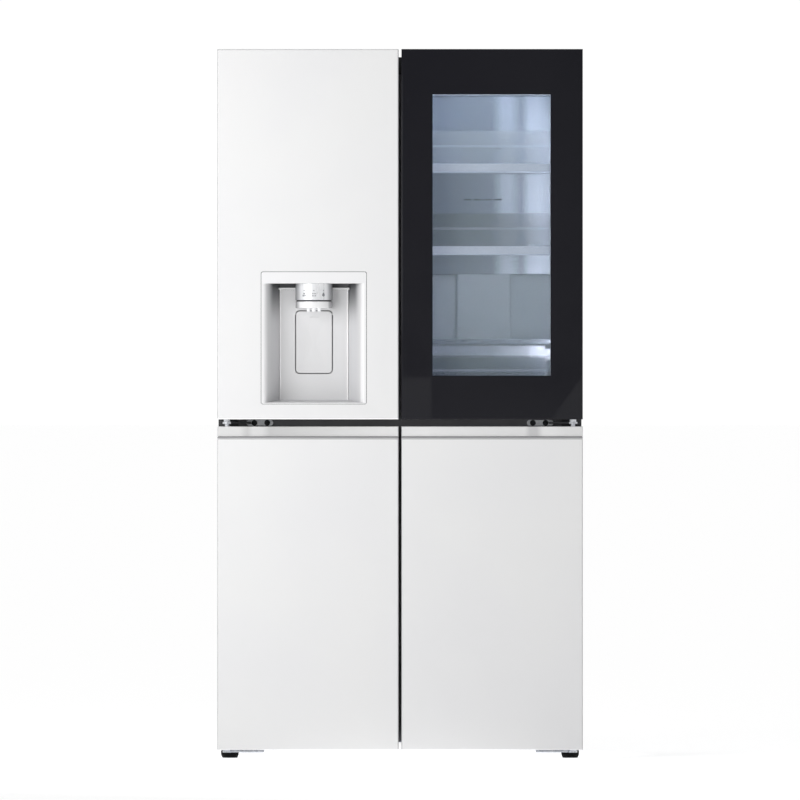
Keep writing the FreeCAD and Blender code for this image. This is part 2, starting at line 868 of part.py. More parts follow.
def shelf(z, y1):
    """Glass shelf with a trim along its front edge."""
    x0 = partition_half + 1
    x1 = liner_side - 1
    y0 = cabinet_front + shelf_front
    z += seat_gap
    return joined([
        block(x0, x1, y0, y1, z, z + shelf_sheet),
        rounded(block(x0, x1, y0 - 6, y0 + 4, z - 5, z - 5 + shelf_trim), 2, X_AXIS),
    ])


def shelves():
    """Shelves of an upper and a lower compartment."""
    y1 = liner_back - duct_depth - 1
    upper = [shelf(z, y1) for z in upper_shelf_heights()]
    return upper + [shelf(freezer_shelf_height(), liner_back - evaporator_depth - 4)]


def drawer(y0, y1, z0, z1):
    """Drawer that hangs on its side rims."""
    body = tray(
        drawer_in + drawer_rim, drawer_out - drawer_rim, y0, y1, z0, z1, drawer_wall, drawer_wall, 10,
    )
    rims = [
        block(drawer_in, drawer_in + drawer_rim + 1, y0 + 12, y1, z1 - drawer_rim_height, z1),
        block(drawer_out - drawer_rim - 1, drawer_out, y0 + 12, y1, z1 - drawer_rim_height, z1),
    ]
    face = block(drawer_in, drawer_out, y0 - 6, y0 + 1, z0, z1)
    return joined([body, rounded(face, 6, Y_AXIS)] + rims)


def crisper():
    """Drawer on the floor of an upper compartment."""
    y0 = cabinet_front + crisper_setback
    return drawer(y0, liner_back - duct_depth - 6, upper_floor + 5, crisper_top())


def lower_freezer_drawer():
    y0 = cabinet_front + freezer_setback
    z0 = lower_floor + 5
    return drawer(y0, step_front - liner_wall - 6, z0, z0 + freezer_drawer_height)


def upper_freezer_drawer():
    y0 = cabinet_front + freezer_setback
    z0 = step_top + liner_wall + 5
    return drawer(y0, liner_back - evaporator_depth - 6, z0, z0 + freezer_drawer_height)


def guide_pair(y0, y1, rim_top):
    """Rails on both side walls of a compartment that a drawer's rims slide along."""
    z1 = rim_top - drawer_rim_height - seat_gap
    body_in = drawer_in + drawer_rim - 0.5
    body_out = drawer_out - drawer_rim + 0.5
    return [
        block(partition_half, body_in, y0, y1, z1 - 12, z1),
        block(body_out, liner_side, y0, y1, z1 - 30, z1),
    ]


def drawer_guides():
    """Rails of the three drawers of a side."""
    floor_z = lower_floor + 5
    upper_z = step_top + liner_wall + 5
    y0 = cabinet_front + freezer_setback + 14
    rails = guide_pair(y0, step_front - liner_wall - 2, floor_z + freezer_drawer_height)
    rails += guide_pair(y0, liner_back - evaporator_depth - 4, upper_z + freezer_drawer_height)
    rails += guide_pair(cabinet_front + crisper_setback + 14, liner_back - duct_depth - 2, crisper_top())
    return rails


# Cooling, light and the ice maker

def air_ducts():
    """Duct on an upper compartment's back wall and the evaporator's cover in a lower one."""
    middle = (partition_half + liner_side) / 2
    duct = block(
        middle - duct_half, middle + duct_half, liner_back - duct_depth, liner_back,
        upper_floor + 20, upper_ceiling - 60,
    )
    duct = rounded(duct, 8, Z_AXIS, lambda point: point.y < liner_back - 1)
    face = liner_back - duct_depth
    for step in range(6):
        z = upper_floor + 120 + step * (upper_ceiling - upper_floor - 220) / 5
        duct = duct.cut(block(middle - 40, middle + 40, face - 1, face + 5, z, z + 8))
    y0 = liner_back - evaporator_depth
    z0 = step_top + liner_wall + 1
    outer = block(partition_half + 1, liner_side - 1, y0, liner_back, z0, lower_ceiling - 4)
    inner = block(partition_half + 4, liner_side - 4, y0 + 3, liner_back + 1, z0 + 3, lower_ceiling - 7)
    cover = outer.cut(inner)
    for step in range(5):
        z = freezer_shelf_height() + 40 + step * 22
        cover = cover.cut(block(middle - 80, middle + 80, y0 - 1, y0 + 4, z, z + 8))
    return [duct, cover]


def evaporator():
    """Finned coil that hangs behind the cover in a lower compartment."""
    y_mid = liner_back - evaporator_depth / 2 + 1
    z0 = step_top + 30
    x0 = partition_half + 30
    x1 = liner_side - 30
    shapes = []
    rows = [z0 + 15 + row * 34 for row in range(6)]
    for z in rows:
        shapes.append(rod(4, V(x0 - 8, y_mid, z), V(x1 + 8, y_mid, z)))
    fins = 14
    for fin in range(fins):
        x = x0 + fin * (x1 - x0 - 2) / (fins - 1)
        shapes.append(block(x, x + 1.5, y_mid - 15, y_mid + 15, z0, z0 + 200))
    # the hangers bridge two tubes, so they hold the coil wherever its fins lie
    shapes.append(block(x0 + 40, x0 + 60, y_mid, liner_back, rows[2], rows[3]))
    shapes.append(block(x1 - 60, x1 - 40, y_mid, liner_back, rows[2], rows[3]))
    return joined(shapes)


def lamps():
    """Lamp bars on the ceilings and the lamp strip up the outer wall of an upper compartment."""
    x0 = partition_half + 60
    x1 = liner_side - 60
    y0 = cabinet_front + 45
    strip = block(
        liner_side - 3, liner_side, cabinet_front + 75, cabinet_front + 95, at_share(0.1), at_share(0.92),
    )
    return [
        block(x0, x1, y0, y0 + 18, upper_ceiling - 6, upper_ceiling),
        block(x0, x1, y0, y0 + 18, lower_ceiling - 6, lower_ceiling),
        strip,
    ]


def ice_case_box(shrink):
    """Space of the ice room on the dispenser door, less a wall on every side."""
    return block(
        partition_half + 35 + shrink, dyke_out - dyke_wall - seat_gap - shrink, door_back + shrink,
        door_back + 125 - shrink, dispenser_top + 8 + shrink, upper_ceiling - 22 - shrink,
    )


def ice_case():
    """Insulated casing of the ice room, closed on all sides."""
    return rounded(ice_case_box(0), 10, Y_AXIS, lambda point: point.y > door_back).cut(ice_case_box(7))


def ice_maker():
    """Ice mould with its motor, fixed under the case's roof."""
    room = ice_case_box(7).BoundBox
    z1 = room.ZMax
    mould = block(room.XMin + 40, room.XMax - 60, room.YMin + 15, room.YMax - 15, z1 - 75, z1 - 30)
    motor = block(room.XMax - 60, room.XMax - 20, room.YMin + 10, room.YMax - 10, z1 - 85, z1)
    hanger = block(room.XMin + 40, room.XMin + 60, room.YMin + 15, room.YMax - 15, z1 - 31, z1)
    cups = []
    for index in range(6):
        x = room.XMin + 48 + index * (room.XMax - room.XMin - 116) / 6
        cups.append(block(x, x + 22, room.YMin + 22, room.YMax - 22, z1 - 65, z1 - 29))
    maker = joined([mould, motor, hanger])
    for cup in cups:
        maker = maker.cut(cup.cut(hanger))
    return maker


def ice_bin():
    """Bucket that the ice falls into."""
    room = ice_case_box(7 + seat_gap).BoundBox
    z1 = ice_case_box(7).BoundBox.ZMax - 110
    return tray(room.XMin, room.XMax, room.YMin, room.YMax, room.ZMin, z1, 3, 4, 12)


# Feet, rollers and the machine room

def leveling_foot():
    """Tapered foot on a threaded stem."""
    x = cabinet_half - foot_from_side
    y = cabinet_front + foot_setback
    pad = Part.makeCone(foot_radius - 3, foot_radius, 5, V(x, y, 0))
    disc = rod(foot_radius, V(x, y, 5), V(x, y, foot_height))
    stem = rod(foot_stem, V(x, y, foot_height), V(x, y, cabinet_bottom - 1))
    return joined([pad, disc, stem])


def rear_roller():
    """Roller that lets the cabinet be pushed back into its place."""
    x = cabinet_half - roller_from_side
    y = cabinet_rear - roller_from_rear
    half = roller_width / 2
    wheel = rod(roller_radius, V(x - half, y, roller_radius), V(x + half, y, roller_radius))
    return wheel.cut(
        rod(roller_axle + pin_play, V(x - half - 1, y, roller_radius), V(x + half + 1, y, roller_radius))
    )


def machine_middle_y():
    return (machine_front + cabinet_rear - sheet) / 2


def compressor():
    """Sealed compressor pot on its foot plate."""
    x = liner_side - compressor_radius - 60
    y = machine_middle_y()
    z0 = base_top + 14
    pot = rod(compressor_radius, V(x, y, z0), V(x, y, z0 + compressor_height))
    pot = pot.makeFillet(45, [edge for edge in pot.Edges if isinstance(edge.Curve, Part.Circle)])
    plate = rounded(block(x - 95, x + 95, y - 70, y + 70, z0, z0 + 3), 10, Z_AXIS)
    feet = []
    for dx in (-80, 80):
        for dy in (-55, 55):
            feet.append(rod(9, V(x + dx, y + dy, base_top), V(x + dx, y + dy, z0)))
    tube = rod(4, V(x, y, z0 + compressor_height - 2), V(x, y, machine_top - seat_gap))
    return joined([pot, plate, tube] + feet)


def fan_axis():
    """Point on the condenser fan's axis."""
    return V(10, machine_middle_y(), base_top + fan_radius + 18)


def fan_bracket():
    """Shroud plate with its round hole, three arms, the motor and its shaft."""
    hub = fan_axis()
    plate = block(
        hub.x - 40, hub.x - 37, machine_front + 4, cabinet_rear - 8, base_top, machine_top - 4,
    )
    plate = plate.cut(rod(fan_radius + 4, hub - X_AXIS * 45, hub - X_AXIS * 30))
    motor = rod(20, hub - X_AXIS * 40, hub - X_AXIS * 14)
    shaft = rod(fan_shaft, hub - X_AXIS * 15, hub + X_AXIS * 16)
    arms = []
    for turn in (90, 210, 330):
        arm = block(hub.x - 40, hub.x - 36, hub.y - 4, hub.y + 4, hub.z, hub.z + fan_radius + 8)
        arm.rotate(hub, X_AXIS, turn - 90)
        arms.append(arm)
    return joined([plate, motor, shaft] + arms)


def condenser_fan():
    """Hub with four pitched blades."""
    hub = fan_axis()
    barrel = rod(18, hub - X_AXIS * 12, hub + X_AXIS * 12)
    blades = []
    for turn in range(4):
        blade = block(hub.x - 1.2, hub.x + 1.2, hub.y - 22, hub.y + 22, hub.z + 10, hub.z + fan_radius - 3)
        blade.rotate(hub, Z_AXIS, 24)
        blade.rotate(hub, X_AXIS, turn * 90)
        blades.append(blade)
    bore_hole = rod(fan_shaft + pin_play, hub - X_AXIS * 13, hub + X_AXIS * 13)
    return joined([barrel] + blades).cut(bore_hole)


def condenser():
    """Block of tube rows in plate fins beside the fan."""
    y_mid = machine_middle_y()
    x0 = -liner_side + 60
    x1 = fan_axis().x - 70
    z0 = base_top
    shapes = []
    fins = 16
    for fin in range(fins):
        x = x0 + fin * (x1 - x0 - 2) / (fins - 1)
        shapes.append(block(x, x + 1.5, y_mid - 60, y_mid + 60, z0, z0 + 170))
    for row in range(4):
        for column in (-36, 0, 36):
            z = z0 + 25 + row * 40
            shapes.append(rod(4, V(x0 - 6, y_mid + column, z), V(x1 + 6, y_mid + column, z)))
    return joined(shapes)


def evaporation_pan():
    """Tray over the compressor's end of the machine room that catches defrost water."""
    x0 = -liner_side + 50
    x1 = fan_axis().x - 60
    y_mid = machine_middle_y()
    z0 = base_top + 170 + seat_gap
    return tray(x0, x1, y_mid - 65, y_mid + 65, z0, z0 + 32, 2.5, 2.5, 8)


def inlet_place():
    """Where the water inlet's axis meets the machine room's cover."""
    return V(-liner_side + 20, cabinet_rear, machine_top - 50)


def gland_place():
    """Where the mains lead's gland sits in the machine room's cover."""
    return V(liner_side - 10, cabinet_rear, base_top + 40)


def machine_room_cover():
    """Louvred sheet over the machine room's back."""
    edge = cabinet_half - 3
    cover = block(-edge, edge, cabinet_rear, cabinet_rear + 1.5, cabinet_bottom + 2, machine_top + 12)
    cover = rounded(cover, 8, Y_AXIS)
    slots = []
    for bank in (-200, 0, 200):
        for row in range(7):
            z = base_top + 40 + row * 22
            slots.append(block(bank - 70, bank + 70, cabinet_rear - 1, cabinet_rear + 3, z, z + 6))
    cover = cover.cut(Part.makeCompound(slots))
    inlet = inlet_place()
    gland = gland_place()
    cover = cover.cut(rod(inlet_radius + seat_gap, inlet - Y_AXIS * 2, inlet + Y_AXIS * 4))
    return cover.cut(rod(8 + seat_gap, gland - Y_AXIS * 2, gland + Y_AXIS * 4))


def water_valve():
    """Solenoid valve whose threaded inlet stands out of the back."""
    inlet = inlet_place()
    tip = V(inlet.x, back, inlet.z)
    stub = rod(inlet_radius, inlet - Y_AXIS * 30, tip)
    body = block(
        inlet.x - 18, inlet.x + 18, inlet.y - 52, inlet.y - 18, inlet.z - 24, inlet.z + 24,
    )
    body = rounded(body, 4, Z_AXIS)
    coil = rod(14, V(inlet.x, inlet.y - 36, inlet.z - 50), V(inlet.x, inlet.y - 36, inlet.z - 24))
    collar = rod(inlet_radius + 4, inlet + Y_AXIS * 1.5, inlet + Y_AXIS * 4)
    return joined([stub, body, coil, collar]).cut(rod(inlet_bore, tip - Y_AXIS * 25, tip + Y_AXIS))


def mains_gland():
    """Bushing that the mains lead passes through."""
    place = gland_place()
    body = rod(8, place - Y_AXIS * 10, place + Y_AXIS * 9)
    flange = rod(12, place + Y_AXIS * 1.5, place + Y_AXIS * 4.5)
    return joined([body, flange]).cut(rod(4.5, place - Y_AXIS * 11, place + Y_AXIS * 10))


# Writing the sub-parts

save("cabinet_wrapper", cabinet_wrapper())
save("front_frame", front_frame())
save("foam_insulation", foam_slabs())
save("compartment_liners", both_sides([upper_liner(), lower_liner()]))
save("rear_panel", rear_panel())
save("base_pan", base_pan())
save("top_hinges", both_sides([top_hinge()]))
save("hinge_covers", both_sides([hinge_cover()]))
save("middle_hinges", both_sides([middle_hinge()]))
save("bottom_hinges", both_sides([bottom_hinge()]))
save("hinge_pins", both_sides(hinge_pins()))
save("hinge_screws", both_sides(hinge_screws()))
save("glass_shelves", both_sides(shelves()))
save("drawer_guides", both_sides(drawer_guides()))
save("air_ducts", both_sides(air_ducts()))
save("evaporators", both_sides([evaporator()]))
save("interior_lamps", both_sides(lamps()))
save("compressor", compressor())
save("condenser", condenser())
save("fan_bracket", fan_bracket())
save("condenser_fan", condenser_fan())
save("evaporation_pan", evaporation_pan())
save("machine_room_cover", machine_room_cover())
save("water_valve", water_valve())
save("mains_gland", mains_gland())

save("left_door_skin", on_side(left_door_skin(), LEFT))
save("left_door_core", on_side(left_door_core(), LEFT))
save("left_door_caps", [on_side(cap, LEFT) for cap in left_door_caps()])
save("left_door_gasket", on_side(upper_gasket(), LEFT))
save("left_door_bins", [on_side(door_tray, LEFT) for door_tray in left_door_bins()])
save("dispenser_housing", on_side(dispenser_housing(), LEFT))
save("dispenser_head", on_side(dispenser_head(), LEFT))
save("dispenser_nozzles", [on_side(spout, LEFT) for spout in dispenser_nozzles()])
save("dispenser_paddle", on_side(dispenser_paddle(), LEFT))
save("ice_case", on_side(ice_case(), LEFT))
save("ice_maker", on_side(ice_maker(), LEFT))
save("ice_bin", on_side(ice_bin(), LEFT))

save("window_door_frame", window_door_frame())
save("window_glass", window_glass())
save("window_inner_glass", window_inner_glass())
save("window_door_gasket", upper_gasket())
save("window_door_bins", window_door_bins())

for side, label in ((LEFT, "left"), (RIGHT, "right")):
    save(f"lower_{label}_skin", on_side(lower_door_skin(), side))
    save(f"lower_{label}_core", on_side(lower_door_core(), side))
    save(f"lower_{label}_pull", on_side(door_pull(), side))
    save(f"lower_{label}_gasket", on_side(lower_gasket(), side))
    save(f"crisper_{label}", on_side(crisper(), side))
    save(f"freezer_drawer_upper_{label}", on_side(upper_freezer_drawer(), side))
    save(f"freezer_drawer_lower_{label}", on_side(lower_freezer_drawer(), side))
    save(f"leveling_foot_{label}", on_side(leveling_foot(), side))
    save(f"rear_roller_{label}", on_side(rear_roller(), side))
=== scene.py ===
import bmesh
import bpy
import math
from mathutils import Matrix, Vector


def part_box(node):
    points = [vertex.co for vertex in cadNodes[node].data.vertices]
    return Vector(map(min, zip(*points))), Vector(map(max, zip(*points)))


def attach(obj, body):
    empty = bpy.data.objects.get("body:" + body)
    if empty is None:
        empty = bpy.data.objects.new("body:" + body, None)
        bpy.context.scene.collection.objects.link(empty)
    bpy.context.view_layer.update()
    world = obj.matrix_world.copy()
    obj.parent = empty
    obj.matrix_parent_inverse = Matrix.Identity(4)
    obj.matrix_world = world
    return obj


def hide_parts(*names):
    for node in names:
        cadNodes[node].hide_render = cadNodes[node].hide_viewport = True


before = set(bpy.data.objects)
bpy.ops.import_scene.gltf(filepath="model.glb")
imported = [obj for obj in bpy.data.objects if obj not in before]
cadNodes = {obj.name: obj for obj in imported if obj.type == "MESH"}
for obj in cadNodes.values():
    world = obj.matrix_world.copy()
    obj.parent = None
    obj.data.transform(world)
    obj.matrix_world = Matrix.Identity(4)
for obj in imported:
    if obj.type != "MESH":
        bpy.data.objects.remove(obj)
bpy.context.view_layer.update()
scene = bpy.context.scene
print("frame loaded with", len(cadNodes), "nodes")

mm = 0.001
leftSide = -1
rightSide = 1


# Colours and materials

def srgb(red, green, blue):
    # 0 to 255 screen values to linear light
    def linear(value):
        value /= 255
        return value / 12.92 if value <= 0.04045 else ((value + 0.055) / 1.055) ** 2.4
    return (linear(red), linear(green), linear(blue), 1.0)


def newMaterial(name, colour, roughness, metallic=0.0, **sockets):
    made = bpy.data.materials.new(name)
    made.use_nodes = True
    shader = made.node_tree.nodes["Principled BSDF"]
    shader.inputs["Base Color"].default_value = colour
    shader.inputs["Roughness"].default_value = roughness
    shader.inputs["Metallic"].default_value = metallic
    for socket, value in sockets.items():
        shader.inputs[socket.replace("_", " ")].default_value = value
    return made


def objectPattern(made, kind, stretch=(1, 1, 1), **values):
    # a texture node that reads the piece's own coordinates
    tree = made.node_tree
    place = tree.nodes.new("ShaderNodeTexCoord")
    mapping = tree.nodes.new("ShaderNodeMapping")
    mapping.inputs["Scale"].default_value = stretch
    texture = tree.nodes.new(kind)
    for socket, value in values.items():
        texture.inputs[socket].default_value = value
    tree.links.new(place.outputs["Object"], mapping.inputs["Vector"])
    tree.links.new(mapping.outputs["Vector"], texture.inputs["Vector"])
    return texture


def addSpread(tree, source, start, end, low=0.0, high=1.0, smooth=False):
    # a value between start and end, spread from low to high
    spread = tree.nodes.new("ShaderNodeMapRange")
    if smooth:
        spread.interpolation_type = "SMOOTHSTEP"
    for socket, value in {"From Min": start, "From Max": end, "To Min": low, "To Max": high}.items():
        spread.inputs[socket].default_value = value
    tree.links.new(source, spread.inputs["Value"])
    return spread.outputs["Result"]


def addAxes(tree, output="Object"):
    # the coordinates along X, Y and Z
    place = tree.nodes.new("ShaderNodeTexCoord")
    parts = tree.nodes.new("ShaderNodeSeparateXYZ")
    tree.links.new(place.outputs[output], parts.inputs["Vector"])
    return parts.outputs


def addColourMix(tree, share):
    # mixes two colours into the shader's base colour and gives their sockets
    mix = tree.nodes.new("ShaderNodeMix")
    mix.data_type = "RGBA"
    tree.links.new(share, mix.inputs["Factor"])
    result = [s for s in mix.outputs if s.type == "RGBA"][0]
    tree.links.new(result, tree.nodes["Principled BSDF"].inputs["Base Color"])
    return [s for s in mix.inputs if s.type == "RGBA"]


def ramped(made, texture, low, high, start=0.35, end=0.65):
    # the middle of a texture's range, spread between two numbers
    return addSpread(made.node_tree, texture.outputs[0], start, end, low, high)


def varyRoughness(made, low, high, scale, stretch=(1, 1, 1)):
    noise = objectPattern(made, "ShaderNodeTexNoise", stretch, Scale=scale, Detail=4.0)
    shader = made.node_tree.nodes["Principled BSDF"]
    made.node_tree.links.new(ramped(made, noise, low, high), shader.inputs["Roughness"])


def varyColour(made, first, second, scale, stretch=(1, 1, 1), kind="ShaderNodeTexNoise", start=0.35, end=0.65):
    texture = objectPattern(made, kind, stretch, Scale=scale)
    sockets = addColourMix(made.node_tree, ramped(made, texture, 0, 1, start, end))
    for socket, colour in zip(sockets, (first, second)):
        socket.default_value = colour


def addBump(made, scale, strength, distance, stretch=(1, 1, 1), kind="ShaderNodeTexNoise", **values):
    texture = objectPattern(made, kind, stretch, Scale=scale, **values)
    tree = made.node_tree
    bump = tree.nodes.new("ShaderNodeBump")
    bump.inputs["Strength"].default_value = strength
    bump.inputs["Distance"].default_value = distance
    tree.links.new(texture.outputs[0], bump.inputs["Height"])
    shader = tree.nodes["Principled BSDF"]
    if shader.inputs["Normal"].is_linked:
        tree.links.new(shader.inputs["Normal"].links[0].from_socket, bump.inputs["Normal"])
    tree.links.new(bump.outputs["Normal"], shader.inputs["Normal"])


def bandColour(made, axis, stops, mirrored=False):
    # colour stops along one axis of the piece's own coordinates, as (metres, colour)
    tree = made.node_tree
    along = addAxes(tree)[axis]
    if mirrored:
        size = tree.nodes.new("ShaderNodeMath")
        size.operation = "ABSOLUTE"
        tree.links.new(along, size.inputs[0])
        along = size.outputs[0]
    ramp = tree.nodes.new("ShaderNodeValToRGB")
    first, last = stops[0][0], stops[-1][0]
    for at, (metres, colour) in enumerate(stops):
        share = (metres - first) / (last - first)
        stop = ramp.color_ramp.elements[at] if at < 2 else ramp.color_ramp.elements.new(share)
        stop.position = share
        stop.color = colour
    tree.links.new(addSpread(tree, along, first, last), ramp.inputs["Fac"])
    tree.links.new(ramp.outputs["Color"], tree.nodes["Principled BSDF"].inputs["Base Color"])


